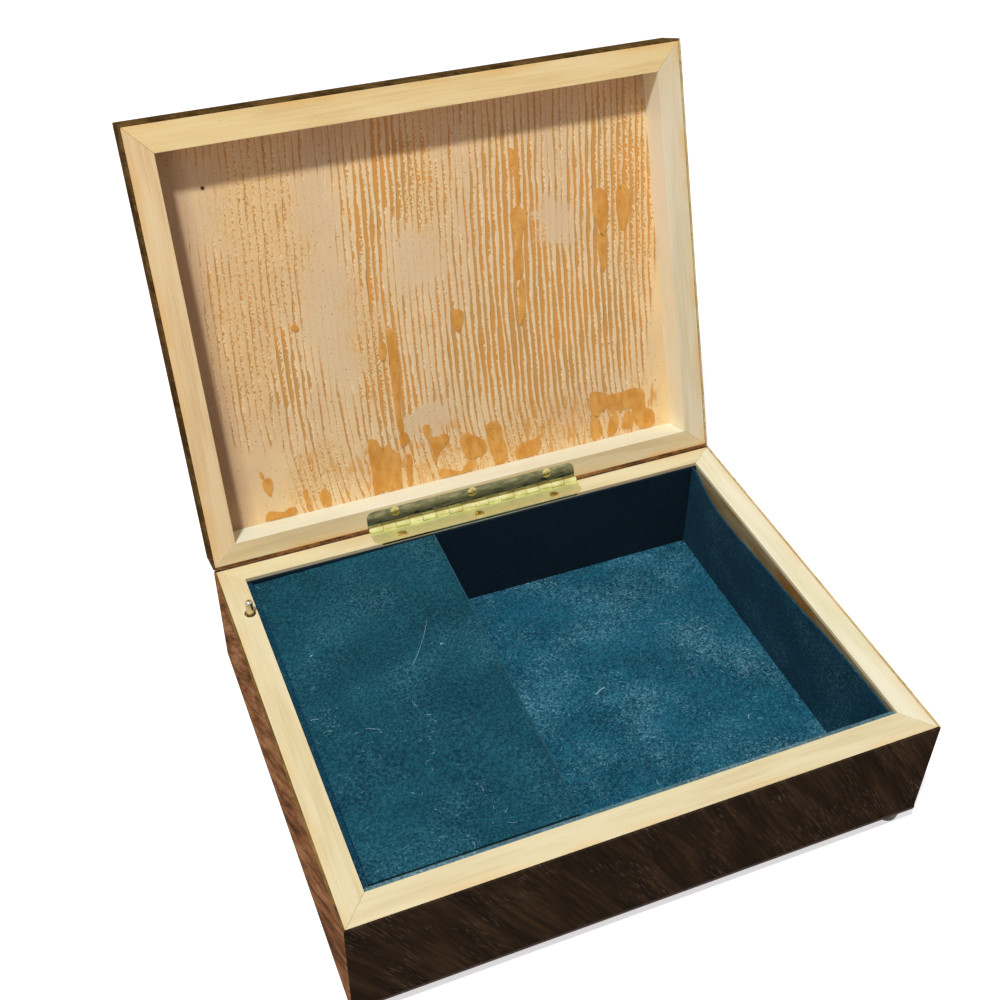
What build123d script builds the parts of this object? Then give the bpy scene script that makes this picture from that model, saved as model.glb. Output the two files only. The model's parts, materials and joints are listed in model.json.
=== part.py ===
from build123d import *
import math
import os

# A musical jewelry box of veneered hardwood, shown with its lid open.
# Lengths are millimetres. The pieces are drawn with x = 0 and y = 0 at the middle of the
# case and z = 0 on its rim, and the lid is drawn closed. The last functions open the lid
# and move everything so that the feet stand on z = 0 under the middle of the open box.

# Small round forms are drawn with this many flat sides
BORE_SIDES = 12
KNUCKLE_SIDES = 16
FOOT_SIDES = 20

# Case
WIDTH = 216.0
DEPTH = 168.0
CASE_HEIGHT = 48.0
VENEER = 0.95
CORNER_RADIUS = 0.9
FRONT_WALL = 11.5
BACK_WALL = 8.5
SIDE_WALL = 10.4
BOTTOM_THICKNESS = 3.8
BOTTOM_ROUNDING = 3.2
FOOT_HEIGHT = 5.5
FOOT_RADIUS = 4.8
FOOT_EASING = 1.4
FOOT_INSET = 6.4

# Lid
LID_THICKNESS = 16.6
LID_PANEL = 2.8
LID_ROUNDING = 2.6
LID_FRONT_RAIL = 11.2
LID_BACK_RAIL = 8.95
LID_SIDE_RAIL = 10.5
LID_GAP = 0.3
OPEN_ANGLE = 110.4

# Hinge
KNUCKLES = 16
KNUCKLE_PITCH = 5.65
KNUCKLE_RADIUS = 1.6
KNUCKLE_GAP = 0.15
HINGE_PIN_RADIUS = 0.75
RUNNING_CLEARANCE = 0.05
LEAF_THICKNESS = 1.0
LEAF_CORNER = 3.0
LID_LEAF_WIDTH = 7.6
LID_LEAF_SINK = 0.5
GROOVE_RADIUS = 1.9
SCREW_SPACING = 33.1
BODY_SCREW_OFFSET = 5.7
LID_SCREW_OFFSET = 5.6
SCREW_HEAD_RADIUS = 1.95
SCREW_HEAD_DEPTH = 0.8
SCREW_SHANK_RADIUS = 0.95
HINGE_SCREW_LENGTH = 9.0

# Linings, platform and divider
BOARD_THICKNESS = 3.0
FLOCK_THICKNESS = 0.6
FLOOR_LINING = 0.9
FRONT_LINING = 2.6
LEFT_LINING = 2.2
BACK_LINING = 1.0
CARD_THICKNESS = 0.8
LINING_TOP = -1.5
PLATFORM_TOP = -1.0
PLATFORM_DIP = 1.7
PLATFORM_END_GAP = 0.3
DIVIDER_THICKNESS = 3.0
DIVIDER_BACK_X = -20.9
DIVIDER_FRONT_X = -22.8
CLEAT_WIDTH = 6.0
CLEAT_HEIGHT = 8.0
BOARD_SEAT_GAP = 0.15

# How far the loose card on the right stands off its wall along the top: (y, gap)
CARD_BOW = ((-69.8, 0.4), (-44.0, 0.5), (-18.0, 2.2), (8.0, 3.4), (42.0, 4.7), (58.0, 3.0),
            (74.4, 0.4))

# Stop pin at the left of the rim and the lever it works
PIN_X = -100.4
PIN_Y = 57.0
PIN_RADIUS = 1.5
PIN_RISE = 6.5
PIN_CHAMFER = 0.45
PIN_NOSE = 0.5
PIN_TRAVEL = 6.4
PIN_HOLE_RADIUS = 2.2
BUSH_TOP = -2.0
BUSH_BOTTOM = -13.0
LEVER_PIVOT_X = -79.5
LEVER_LONG_ARM = -PIN_X + LEVER_PIVOT_X
LEVER_SHORT_ARM = 5.5
LEVER_THICKNESS = 1.5
LEVER_WIDTH = 2.0
LEVER_GAP = 0.15
LEVER_STUD_RADIUS = 0.75
LEVER_SLOT_WIDTH = 4.0
LEVER_SLOT_BOTTOM = -31.0

# Movement, placed by the middle of its cylinder over the top of its bedplate
MOVEMENT_X = -56.0
MOVEMENT_Y = 42.0
BEDPLATE = 2.5
BEDPLATE_X = (-28.0, 26.5)
BEDPLATE_Y = (-40.5, 23.0)
KEY_HOLE_RADIUS = 14.0

# Pinned cylinder and comb
CYLINDER_Z = 10.5
CYLINDER_RADIUS = 6.75
CYLINDER_LENGTH = 19.6
PIN_CIRCLE = 7.4
NOTES = 18
NOTE_PITCH = 1.05
CYLINDER_PINS_PER_NOTE = 2
CYLINDER_PIN_SIDE = 0.36
CYLINDER_STEPS = 48
CYLINDER_ARBOR_RADIUS = 1.0
COMB_TIP_X = 7.55
COMB_THICKNESS = 0.9
COMB_HEEL_X = 16.0
COMB_BACK_X = 24.5

# Wheels: tooth counts and modules
WHEEL_TEETH = 36
WHEEL_MODULE = 0.5
LEAF_TEETH = 9
CROWN_TEETH = 40
CROWN_RADIUS = 12.05
CROWN_MODULE = 0.6
PINION_TEETH = 12
WORM_WHEEL_TEETH = 16
TOOTH_SHARE = 0.4

# Spring barrel, its arbor, ratchet and key
BARREL_Y = -25.2
BARREL_RADIUS = 10.0
BARREL_WALL = 1.0
BARREL_BOTTOM = 2.2
BARREL_TOP = 14.5
FLANGE_RADIUS = 13.3
FLANGE_Z = (5.0, 6.1)
ARBOR_RADIUS = 2.0
SPRING_TURNS = 3
SPRING_SIDES = 12
SPRING_THICKNESS = 0.3
RATCHET_TEETH = 16
RATCHET_RADIUS = 6.5
RATCHET_Z = (0.5, 1.7)
CLICK_PIVOT = (9.5, 4.0)
CLICK_GAP = 0.2
CLICK_STUD_RADIUS = 1.0
KEY_TOP = -3.0
KEY_BOTTOM = -10.9
KEY_SPAN = 22.0

# Governor: worm wheel, endless screw and air brake
WORM_ARBOR_X = -9.55
WORM_ARBOR_Z = 16.5
WORM_ARBOR_RADIUS = 0.8
WORM_WHEEL_Y = 15.0
FRAME_Y = (20.0, 21.4)
SCREW_AXIS_X = -15.1
SCREW_PITCH_RADIUS = 1.5
SCREW_CORE_RADIUS = 1.0
SCREW_OUTER_RADIUS = 1.95
SCREW_TURNS = 3
THREAD_SINK = 0.1
BRAKE_DISC_Z = 21.0
BRAKE_DISC_RADIUS = 3.5
WING_SPAN = 9.0
WING_Z = (4.5, 10.5)

# Worked out from the sizes above
OUTER_X = WIDTH / 2
OUTER_Y = DEPTH / 2
INNER_X = OUTER_X - SIDE_WALL
FRONT_Y = -OUTER_Y + FRONT_WALL
BACK_Y = OUTER_Y - BACK_WALL
BASE_Z = -CASE_HEIGHT
FLOOR_Z = BASE_Z + BOTTOM_THICKNESS
CARPET_Z = FLOOR_Z + FLOOR_LINING
HINGE_Z = LID_GAP / 2
HINGE_LENGTH = KNUCKLES * KNUCKLE_PITCH
LID_PANEL_Z = LID_GAP + LID_THICKNESS - LID_PANEL
BOARD_TOP = PLATFORM_TOP - FLOCK_THICKNESS
BOARD_BOTTOM = BOARD_TOP - BOARD_THICKNESS
LINING_FRONT_Y = FRONT_Y + FRONT_LINING
LINING_BACK_Y = BACK_Y - BACK_LINING
LINING_LEFT_X = -INNER_X + LEFT_LINING
MOVEMENT_Z = FLOOR_Z + BEDPLATE
LEVER_SWING = math.degrees(math.asin(PIN_TRAVEL / 2 / LEVER_LONG_ARM))
SCREW_LEAD = math.pi * WHEEL_MODULE
SCREW_START_Z = WORM_ARBOR_Z - SCREW_TURNS / 2 * SCREW_LEAD
FINGER_TOP_Z = BRAKE_DISC_Z - LEVER_GAP
LEVER_PIVOT_Z = (FINGER_TOP_Z - LEVER_SHORT_ARM * math.sin(math.radians(LEVER_SWING))
                 - LEVER_THICKNESS / 2)
LEVER_LIFT = LEVER_LONG_ARM * math.sin(math.radians(LEVER_SWING))
LEVER_TIP_Z = MOVEMENT_Z + LEVER_PIVOT_Z + LEVER_LIFT + LEVER_THICKNESS / 2
OPEN_COS = -math.cos(math.radians(OPEN_ANGLE))
OPEN_SIN = math.sin(math.radians(OPEN_ANGLE))
LID_REACH = (OUTER_Y + (DEPTH - LID_ROUNDING) * OPEN_COS
             + (LID_GAP / 2 + LID_THICKNESS - LID_ROUNDING) * OPEN_SIN + LID_ROUNDING)
CASE_Y = (OUTER_Y - LID_REACH) / 2
RIM_Z = FOOT_HEIGHT + CASE_HEIGHT


def block(low, high):
    """A box between its lowest and highest corners."""
    sides = [top - bottom for bottom, top in zip(low, high)]
    return Pos(*low) * Box(*sides, align=(Align.MIN, Align.MIN, Align.MIN))


def prism(points, bottom, top):
    """A flat outline of (x, y) points raised from bottom to top."""
    outline = Polygon(*points, align=None)
    return Pos(0, 0, bottom) * extrude(outline, top - bottom, dir=(0, 0, 1))


def rod(radius, start, end, axis="Z", at=(0, 0)):
    """A round bar along one axis; at holds its place on the other two axes."""
    bar = Cylinder(radius, end - start, align=(Align.CENTER, Align.CENTER, Align.MIN))
    if axis == "X":
        return Pos(start, at[0], at[1]) * Rot(0, 90, 0) * bar
    if axis == "Y":
        return Pos(at[0], start, at[1]) * Rot(-90, 0, 0) * bar
    return Pos(at[0], at[1], start) * bar


def bore(radius, start, end, axis="Z", at=(0, 0)):
    """A small hole or shank with flat sides that touch the radius, so round shafts clear it."""
    outline = RegularPolygon(radius, BORE_SIDES, major_radius=False)
    hole = extrude(outline, end - start)
    if axis == "X":
        return Pos(start, at[0], at[1]) * Rot(0, 90, 0) * hole
    if axis == "Y":
        return Pos(at[0], start, at[1]) * Rot(-90, 0, 0) * hole
    return Pos(at[0], at[1], start) * hole


def mitred_ring(front, back, side, inset, bottom, top):
    """Four mitred bars round the box, as a dictionary by side.

    front, back and side are the distances from the outer faces to the inner faces, and
    inset is the distance from the outer faces to the outside of the bars.
    """
    out_x = OUTER_X - inset
    out_y = OUTER_Y - inset
    in_x = OUTER_X - side
    front_y = -OUTER_Y + front
    back_y = OUTER_Y - back
    outlines = {
        "front": ((-out_x, -out_y), (out_x, -out_y), (in_x, front_y), (-in_x, front_y)),
        "right": ((out_x, -out_y), (out_x, out_y), (in_x, back_y), (in_x, front_y)),
        "back": ((out_x, out_y), (-out_x, out_y), (-in_x, back_y), (in_x, back_y)),
        "left": ((-out_x, out_y), (-out_x, -out_y), (-in_x, front_y), (-in_x, back_y)),
    }
    return {name: prism(points, bottom, top) for name, points in outlines.items()}


def veneer_ring(bottom, top):
    """The four outer veneers with their rounded corners, as a dictionary by side."""
    rounded = extrude(RectangleRounded(WIDTH, DEPTH, CORNER_RADIUS), top - bottom)
    bars = mitred_ring(VENEER, VENEER, VENEER, 0, bottom, top)
    return {name: bar & (Pos(0, 0, bottom) * rounded) for name, bar in bars.items()}


def leaf_outline(width):
    """A hinge leaf's flat outline, with two round corners away from the knuckles."""
    flat = Pos(0, -width / 2) * Rectangle(HINGE_LENGTH, width)
    return fillet(flat.vertices().group_by(Axis.Y)[0], LEAF_CORNER)


def knuckle_span(index):
    """The two ends along x of one knuckle's share of the hinge."""
    start = -HINGE_LENGTH / 2 + index * KNUCKLE_PITCH
    return start, start + KNUCKLE_PITCH


def hinge_leaf(width, plate_z, first, pin_radius):
    """One leaf round the hinge axis at the origin, owning every second knuckle."""
    leaf = Pos(0, 0, plate_z) * extrude(leaf_outline(width), LEAF_THICKNESS)
    relief = KNUCKLE_RADIUS + KNUCKLE_GAP
    barrel = Rot(0, 90, 0) * RegularPolygon(KNUCKLE_RADIUS, KNUCKLE_SIDES)
    for index in range(KNUCKLES):
        start, end = knuckle_span(index)
        if index % 2 != first:
            leaf -= block((start - KNUCKLE_GAP / 2, -relief, -relief),
                          (end + KNUCKLE_GAP / 2, relief, relief))
    for index in range(first, KNUCKLES, 2):
        start, end = knuckle_span(index)
        low = start + KNUCKLE_GAP / 2
        leaf += Pos(low, 0, 0) * extrude(barrel, end - low - KNUCKLE_GAP / 2, dir=(1, 0, 0))
    return leaf - bore(pin_radius, -HINGE_LENGTH / 2, HINGE_LENGTH / 2, "X")


def wood_screw(length):
    """A wood screw: its head's flat top at z = 0, the shank below."""
    head = extrude(RegularPolygon(SCREW_HEAD_RADIUS, BORE_SIDES), -SCREW_HEAD_DEPTH)
    return head + bore(SCREW_SHANK_RADIUS, -length, -SCREW_HEAD_DEPTH)


def hinge_screw_places(offset):
    """The three screw places of a leaf, from the middle of the case."""
    return [(x, OUTER_Y - offset) for x in (-SCREW_SPACING, 0, SCREW_SPACING)]


def body_screws():
    """The three screws in the body leaf."""
    return [Pos(x, y, 0) * wood_screw(HINGE_SCREW_LENGTH)
            for x, y in hinge_screw_places(BODY_SCREW_OFFSET)]


def lid_screws():
    """The three screws in the lid leaf, pointing up into the closed lid."""
    head_z = LID_GAP + LID_LEAF_SINK
    return [Pos(x, y, head_z) * Rot(180, 0, 0) * wood_screw(HINGE_SCREW_LENGTH)
            for x, y in hinge_screw_places(LID_SCREW_OFFSET)]


def hinge_groove():
    """The round groove that the knuckles lie in."""
    return rod(GROOVE_RADIUS, -HINGE_LENGTH / 2, HINGE_LENGTH / 2, "X", (OUTER_Y, HINGE_Z))


def body_mortise():
    """The shallow recess under the body leaf."""
    recess = extrude(leaf_outline(BACK_WALL), LEAF_THICKNESS)
    return Pos(0, OUTER_Y, -LEAF_THICKNESS) * recess


def lid_mortise():
    """The deeper recess over the lid leaf."""
    recess = extrude(leaf_outline(LID_LEAF_WIDTH), LID_LEAF_SINK + LEAF_THICKNESS)
    return Pos(0, OUTER_Y, LID_GAP) * recess


def pin_hole():
    """The stop pin's hole in the left wall with the slot that the lever reaches through."""
    half = LEVER_SLOT_WIDTH / 2
    slot = block((PIN_X - PIN_HOLE_RADIUS, PIN_Y - half, LEVER_SLOT_BOTTOM),
                 (LINING_LEFT_X, PIN_Y + half, BUSH_BOTTOM))
    return rod(PIN_HOLE_RADIUS, LEVER_SLOT_BOTTOM, 0, at=(PIN_X, PIN_Y)) + slot


def case_walls():
    """The four mitred walls with the hinge and pin cut into them."""
    walls = mitred_ring(FRONT_WALL, BACK_WALL, SIDE_WALL, VENEER, FLOOR_Z, 0)
    walls["back"] -= body_mortise()
    walls["back"] -= hinge_groove()
    for hole in body_screws():
        walls["back"] -= hole
    walls["left"] -= pin_hole()
    return {f"{side}_wall": wall for side, wall in walls.items()}


def case_veneers():
    """The dark veneers outside the walls, whose top edge frames the rim."""
    veneers = veneer_ring(FLOOR_Z, 0)
    veneers["back"] -= body_mortise() + hinge_groove()
    return {f"{side}_veneer": veneer for side, veneer in veneers.items()}


def foot_places():
    """The middles of the four feet."""
    x = OUTER_X - FOOT_INSET
    y = OUTER_Y - FOOT_INSET
    return [(-x, -y), (x, -y), (x, y), (-x, y)]


def feet():
    """Four bun feet with their lower edges eased."""
    bun = Pos(0, 0, -FOOT_HEIGHT) * extrude(RegularPolygon(FOOT_RADIUS, FOOT_SIDES), FOOT_HEIGHT)
    bun = chamfer(bun.faces().sort_by(Axis.Z)[0].edges(), FOOT_EASING).solid()
    return Compound([Pos(x, y, BASE_Z) * bun for x, y in foot_places()])


def movement_screws():
    """The three screws from below through the bottom into the bedplate."""
    inset = 3.5
    left, right = (BEDPLATE_X[0] + inset, BEDPLATE_X[1] - inset)
    front, back = (BEDPLATE_Y[0] + inset, BEDPLATE_Y[1] - inset)
    length = BOTTOM_THICKNESS + BEDPLATE
    return [Pos(MOVEMENT_X + x, MOVEMENT_Y + y, BASE_Z) * Rot(180, 0, 0) * wood_screw(length)
            for x, y in ((left, back), (right, back), (right, front))]


def bottom_panel():
    """The base board, rounded along its lower edges, with the winding key's hole."""
    slab = Pos(0, 0, BASE_Z) * extrude(Rectangle(WIDTH, DEPTH), BOTTOM_THICKNESS)
    slab = fillet(slab.faces().sort_by(Axis.Z)[0].edges(), BOTTOM_ROUNDING)
    slab -= rod(KEY_HOLE_RADIUS, BASE_Z, FLOOR_Z, at=(MOVEMENT_X, MOVEMENT_Y + BARREL_Y))
    for hole in movement_screws():
        slab -= hole
    return slab


def divider_x(y, offset=0.0):
    """Where the well side of the divider's lining stands at a depth y."""
    share = (y - LINING_FRONT_Y) / (LINING_BACK_Y - LINING_FRONT_Y)
    return DIVIDER_FRONT_X + share * (DIVIDER_BACK_X - DIVIDER_FRONT_X) + offset


def skewed_strip(left, right, bottom, top):
    """An upright strip that follows the divider, between two offsets from its face."""
    front = LINING_FRONT_Y
    back = LINING_BACK_Y
    corners = ((divider_x(front, left), front), (divider_x(front, right), front),
               (divider_x(back, right), back), (divider_x(back, left), back))
    return prism(corners, bottom, top)


def divider_wall():
    """The thin wall between the movement and the well."""
    return skewed_strip(-FLOCK_THICKNESS - DIVIDER_THICKNESS, -FLOCK_THICKNESS, FLOOR_Z,
                        BOARD_BOTTOM - BOARD_SEAT_GAP)


def divider_lining():
    """Flocked card on the well side of the divider."""
    return skewed_strip(-FLOCK_THICKNESS, 0, CARPET_Z, PLATFORM_TOP)


def warped_slab(top, thickness, right_offset):
    """A flat slab whose back left corner dips, as the loose platform does."""
    left = LINING_LEFT_X + 0.1
    front = LINING_FRONT_Y + 0.1
    back = LINING_BACK_Y - PLATFORM_END_GAP

    def end(x, dip):
        corners = ((x, front, top), (x, back, top - dip), (x, back, top - dip - thickness),
                   (x, front, top - thickness))
        return Face(Wire.make_polygon([Vector(*corner) for corner in corners], close=True))

    def slanted_end():
        front_x = divider_x(front, right_offset)
        back_x = divider_x(back, right_offset)
        corners = ((front_x, front, top), (back_x, back, top),
                   (back_x, back, top - thickness), (front_x, front, top - thickness))
        return Face(Wire.make_polygon([Vector(*corner) for corner in corners], close=True))

    return Solid.make_loft([end(left, PLATFORM_DIP).outer_wire(), slanted_end().outer_wire()],
                           ruled=True)


def platform_board():
    """The board that covers the movement."""
    return warped_slab(BOARD_TOP, BOARD_THICKNESS, -FLOCK_THICKNESS)


def platform_lining():
    """Flocked card glued over the board."""
    return warped_slab(PLATFORM_TOP, FLOCK_THICKNESS, -FLOCK_THICKNESS)


def cleat(y_low, y_high, dip):
    """One strip under the platform; its top follows the board."""
    right = DIVIDER_FRONT_X - FLOCK_THICKNESS - DIVIDER_THICKNESS
    left = LINING_LEFT_X
    under = BOARD_BOTTOM - BOARD_SEAT_GAP
    outline = Plane.XZ * Polygon((left, under - dip - CLEAT_HEIGHT), (right, under - CLEAT_HEIGHT),
                                 (right, under), (left, under - dip), align=None)
    return Pos(0, y_high, 0) * extrude(outline, y_high - y_low, dir=(0, -1, 0))


def platform_cleats():
    """The two strips glued along the linings at the front and back."""
    front = cleat(LINING_FRONT_Y, LINING_FRONT_Y + CLEAT_WIDTH, 0)
    back = cleat(LINING_BACK_Y - CLEAT_WIDTH, LINING_BACK_Y, PLATFORM_DIP)
    return Compound([front.solid(), back.solid()])


def floor_lining():
    """Flocked card on the floor of the well."""
    corners = ((divider_x(FRONT_Y, -FLOCK_THICKNESS), FRONT_Y), (INNER_X, FRONT_Y),
               (INNER_X, BACK_Y), (divider_x(BACK_Y, -FLOCK_THICKNESS), BACK_Y))
    return prism(corners, FLOOR_Z, CARPET_Z)


def front_lining():
    """Padded card along the front wall."""
    pad = block((-INNER_X, FRONT_Y, CARPET_Z), (INNER_X, LINING_FRONT_Y, LINING_TOP))
    edge = pad.edges().filter_by(Axis.X).group_by(Axis.Z)[-1].sort_by(Axis.Y)[-1]
    return fillet(edge, 0.8)


def left_lining():
    """Card along the left wall, notched for the stop lever."""
    card = block((-INNER_X, LINING_FRONT_Y, CARPET_Z),
                 (LINING_LEFT_X, LINING_BACK_Y, LINING_TOP))
    return card - pin_hole()


def back_lining():
    """Card along the back wall."""
    return block((-INNER_X, LINING_BACK_Y, CARPET_Z), (INNER_X, BACK_Y, LINING_TOP))


def right_lining():
    """The loose card on the right, straight at the floor and bowed along its top."""
    front = LINING_FRONT_Y + 0.1
    back = LINING_BACK_Y - 0.1

    def strip(z, gaps, stretch):
        outer = [Vector(INNER_X - gap, y, z) for y, gap in gaps]
        inner = [Vector(INNER_X - gap - CARD_THICKNESS, y, z) for y, gap in reversed(gaps)]
        sides = [Edge.make_line(outer[-1], inner[0]), Edge.make_line(inner[-1], outer[0])]
        for start in range(0, len(gaps) - 1, 2):
            sides.append(stretch(*outer[start:start + 3]))
            sides.append(stretch(*inner[start:start + 3]))
        return Wire(sides)

    def straight(start, middle, end):
        return Edge.make_line(start, end)

    bow = ((front, CARD_BOW[0][1]),) + CARD_BOW[1:-1] + ((back, CARD_BOW[-1][1]),)
    foot = tuple((y, 0.1) for y, gap in bow)
    return Solid.make_loft([strip(CARPET_Z, foot, straight),
                            strip(LINING_TOP, bow, Edge.make_three_point_arc)], ruled=True)


def lid_rails():
    """The four mitred rails of the lid with the hinge cut into the back one."""
    rails = mitred_ring(LID_FRONT_RAIL, LID_BACK_RAIL, LID_SIDE_RAIL, VENEER, LID_GAP,
                        LID_PANEL_Z)
    rails["back"] -= lid_mortise()
    rails["back"] -= hinge_groove()
    for hole in lid_screws():
        rails["back"] -= hole
    return {f"lid_{side}_rail": rail for side, rail in rails.items()}


def lid_veneers():
    """The dark veneers round the lid."""
    veneers = veneer_ring(LID_GAP, LID_PANEL_Z)
    veneers["back"] -= lid_mortise() + hinge_groove()
    return {f"lid_{side}_veneer": veneer for side, veneer in veneers.items()}


def lid_top_panel():
    """The top board with its rounded upper edge."""
    slab = Pos(0, 0, LID_PANEL_Z) * extrude(Rectangle(WIDTH, DEPTH), LID_PANEL)
    return fillet(slab.faces().sort_by(Axis.Z)[-1].edges(), LID_ROUNDING)


def body_hinge_leaf():
    """The leaf let in flush with the rim."""
    leaf = hinge_leaf(BACK_WALL, -HINGE_Z - LEAF_THICKNESS, 1, HINGE_PIN_RADIUS)
    leaf = Pos(0, OUTER_Y, HINGE_Z) * leaf
    for hole in body_screws():
        leaf -= hole
    return leaf


def lid_hinge_leaf():
    """The leaf let in below the lid's face."""
    leaf = hinge_leaf(LID_LEAF_WIDTH, LID_GAP + LID_LEAF_SINK - HINGE_Z, 0,
                      HINGE_PIN_RADIUS + RUNNING_CLEARANCE)
    leaf = Pos(0, OUTER_Y, HINGE_Z) * leaf
    for hole in lid_screws():
        leaf -= hole
    return leaf


def hinge_pin():
    """The wire through all the knuckles."""
    return rod(HINGE_PIN_RADIUS, -HINGE_LENGTH / 2, HINGE_LENGTH / 2, "X", (OUTER_Y, HINGE_Z))


def stop_pin():
    """The polished pin that the closing lid pushes down, with a narrow nose on the lever."""
    bottom = LEVER_TIP_Z + LEVER_GAP
    pin = rod(PIN_RADIUS, bottom + PIN_NOSE, PIN_RISE, at=(PIN_X, PIN_Y))
    pin = chamfer(pin.edges().filter_by(GeomType.CIRCLE).group_by(Axis.Z)[-1], PIN_CHAMFER)
    return pin + bore(PIN_RADIUS - PIN_NOSE, bottom, bottom + PIN_NOSE, at=(PIN_X, PIN_Y))


def stop_pin_bush():
    """The bush that guides the pin, set below the rim."""
    bush = rod(PIN_HOLE_RADIUS, BUSH_BOTTOM, BUSH_TOP, at=(PIN_X, PIN_Y))
    return bush - bore(PIN_RADIUS + RUNNING_CLEARANCE, BUSH_BOTTOM, BUSH_TOP, at=(PIN_X, PIN_Y))


def in_movement(shape):
    """Move a piece from the movement's own frame to the case."""
    return Pos(MOVEMENT_X, MOVEMENT_Y, MOVEMENT_Z) * shape


def gear_face(teeth, module, addendum, dedendum, tooth_angle=0.0):
    """A spur gear's flat outline with its flanks on involutes and one tooth at tooth_angle."""
    pressure = math.radians(20)
    pitch_radius = teeth * module / 2
    base_radius = pitch_radius * math.cos(pressure)
    tip_radius = pitch_radius + addendum * module
    root_radius = pitch_radius - dedendum * module
    flank_start = max(base_radius, root_radius)
    flank = (flank_start, tip_radius)

    def involute(angle):
        return math.tan(angle) - angle

    def half_angle(radius):
        at_radius = math.acos(min(1.0, base_radius / radius))
        return math.pi * TOOTH_SHARE / teeth + involute(pressure) - involute(at_radius)

    points = []
    for tooth in range(teeth):
        centre = math.radians(tooth_angle) + 2 * math.pi * tooth / teeth
        rising = [(radius, centre - half_angle(radius)) for radius in flank]
        if root_radius < 0.97 * base_radius:
            rising.insert(0, (root_radius, centre - half_angle(flank_start)))
        falling = [(radius, 2 * centre - angle) for radius, angle in reversed(rising)]
        points += rising + falling
    return Polygon(*[(r * math.cos(a), r * math.sin(a)) for r, a in points], align=None)


def upright_gear(face, x, z, y_low, y_high):
    """A gear outline given its thickness along y, with its axis at (x, z)."""
    wheel = Plane.XZ * extrude(face, y_high - y_low)
    return Pos(x, y_high, z) * wheel


def bedplate():
    """The cast base with its two bearing posts, comb rest and click stud."""
    low = (BEDPLATE_X[0], BEDPLATE_Y[0], -BEDPLATE)
    base = block(low, (BEDPLATE_X[1], BEDPLATE_Y[1], 0))
    base = fillet(base.edges().filter_by(Axis.Z), 4)
    front_post = block((-4, -11.5, 0), (4, -10.4, CYLINDER_Z + 3.5))
    rear_post = block((-5, 12.4, 0), (4, 13.9, CYLINDER_Z + 9.5))
    rear_post += block((WORM_ARBOR_X - 3, 12.4, 12.6), (4, 13.9, CYLINDER_Z + 9.5))
    comb_rest = block((COMB_HEEL_X - 0.5, -11, 0), (COMB_BACK_X + 1, 11, comb_bottom()))
    stud = bore(CLICK_STUD_RADIUS, 0, 2.0, at=click_pivot())
    cast = base + front_post + rear_post + comb_rest + stud
    cast -= bore(CYLINDER_ARBOR_RADIUS + RUNNING_CLEARANCE, -12, 14, "Y", (0, CYLINDER_Z))
    worm_bore = WORM_ARBOR_RADIUS + RUNNING_CLEARANCE
    cast -= bore(worm_bore, 12, 14, "Y", (WORM_ARBOR_X, WORM_ARBOR_Z))
    cast -= bore(ARBOR_RADIUS + RUNNING_CLEARANCE, -BEDPLATE, 0, at=(0, BARREL_Y))
    for x, y in comb_screw_places():
        cast -= bore(1.0, comb_bottom() - 6, comb_bottom(), at=(x, y))
    cast = in_movement(cast)
    for hole in movement_screws():
        cast -= hole
    return cast


def comb_bottom():
    """Height of the comb's underside over the bedplate."""
    return CYLINDER_Z - COMB_THICKNESS / 2


def comb_screw_places():
    """The two screws through the comb."""
    x = (COMB_HEEL_X + COMB_BACK_X) / 2 + 0.5
    return [(x, -6.0), (x, 6.0)]


def note_y(note):
    """The middle of one note's track along the cylinder."""
    return (note - (NOTES - 1) / 2) * NOTE_PITCH


def comb():
    """The steel comb: one tooth to a note, the long ones weighted below."""
    half = NOTES * NOTE_PITCH / 2
    bottom = comb_bottom()
    top = bottom + COMB_THICKNESS
    plate = block((COMB_TIP_X, -half, bottom), (COMB_BACK_X, half, top))
    plate = chamfer(plate.edges().filter_by(Axis.Z).group_by(Axis.X)[-1], 1.2)
    for gap in range(1, NOTES):
        y = note_y(gap) - NOTE_PITCH / 2
        root = COMB_HEEL_X - 0.22 * gap
        plate -= block((COMB_TIP_X - 1, y - 0.15, bottom - 1), (root, y + 0.15, top + 1))
    for note in range(6):
        y = note_y(note)
        weight = 3.4 - 0.4 * note
        plate += block((COMB_TIP_X + 0.6, y - 0.35, bottom - 1.5),
                       (COMB_TIP_X + 0.6 + weight, y + 0.35, bottom))
    for x, y in comb_screw_places():
        plate -= bore(1.0, bottom, top, at=(x, y))
    return in_movement(plate)


def comb_screws():
    """Two cheese-head screws."""
    seat = comb_bottom() + COMB_THICKNESS
    screws = []
    for x, y in comb_screw_places():
        screw = bore(1.8, seat, seat + 1.2, at=(x, y)) + bore(1.0, seat - 6, seat, at=(x, y))
        screws.append(in_movement(screw).solid())
    return Compound(screws)


def pinned_cylinder():
    """The brass cylinder, with a flat for each step that its pins are set out in."""
    half = CYLINDER_LENGTH / 2
    around = RegularPolygon(CYLINDER_RADIUS, CYLINDER_STEPS)
    drum = Pos(0, -half, CYLINDER_Z) * Rot(-90, 0, 0) * extrude(around, CYLINDER_LENGTH)
    side = CYLINDER_PIN_SIDE / 2
    pins = []
    for note in range(NOTES):
        for beat in range(CYLINDER_PINS_PER_NOTE):
            step = (7 * note + 12 * beat + beat * beat * (note % 3 + 1)) % CYLINDER_STEPS
            pin = block((CYLINDER_RADIUS - 0.5, -side, -side), (PIN_CIRCLE, side, side))
            turned = Rot(0, (step + 0.5) * 360 / CYLINDER_STEPS, 0) * pin
            pins.append(Pos(0, note_y(note), CYLINDER_Z) * turned)
    drum = drum.fuse(*pins)
    drum -= bore(CYLINDER_ARBOR_RADIUS, -half, half, "Y", (0, CYLINDER_Z))
    return in_movement(drum)


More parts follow.
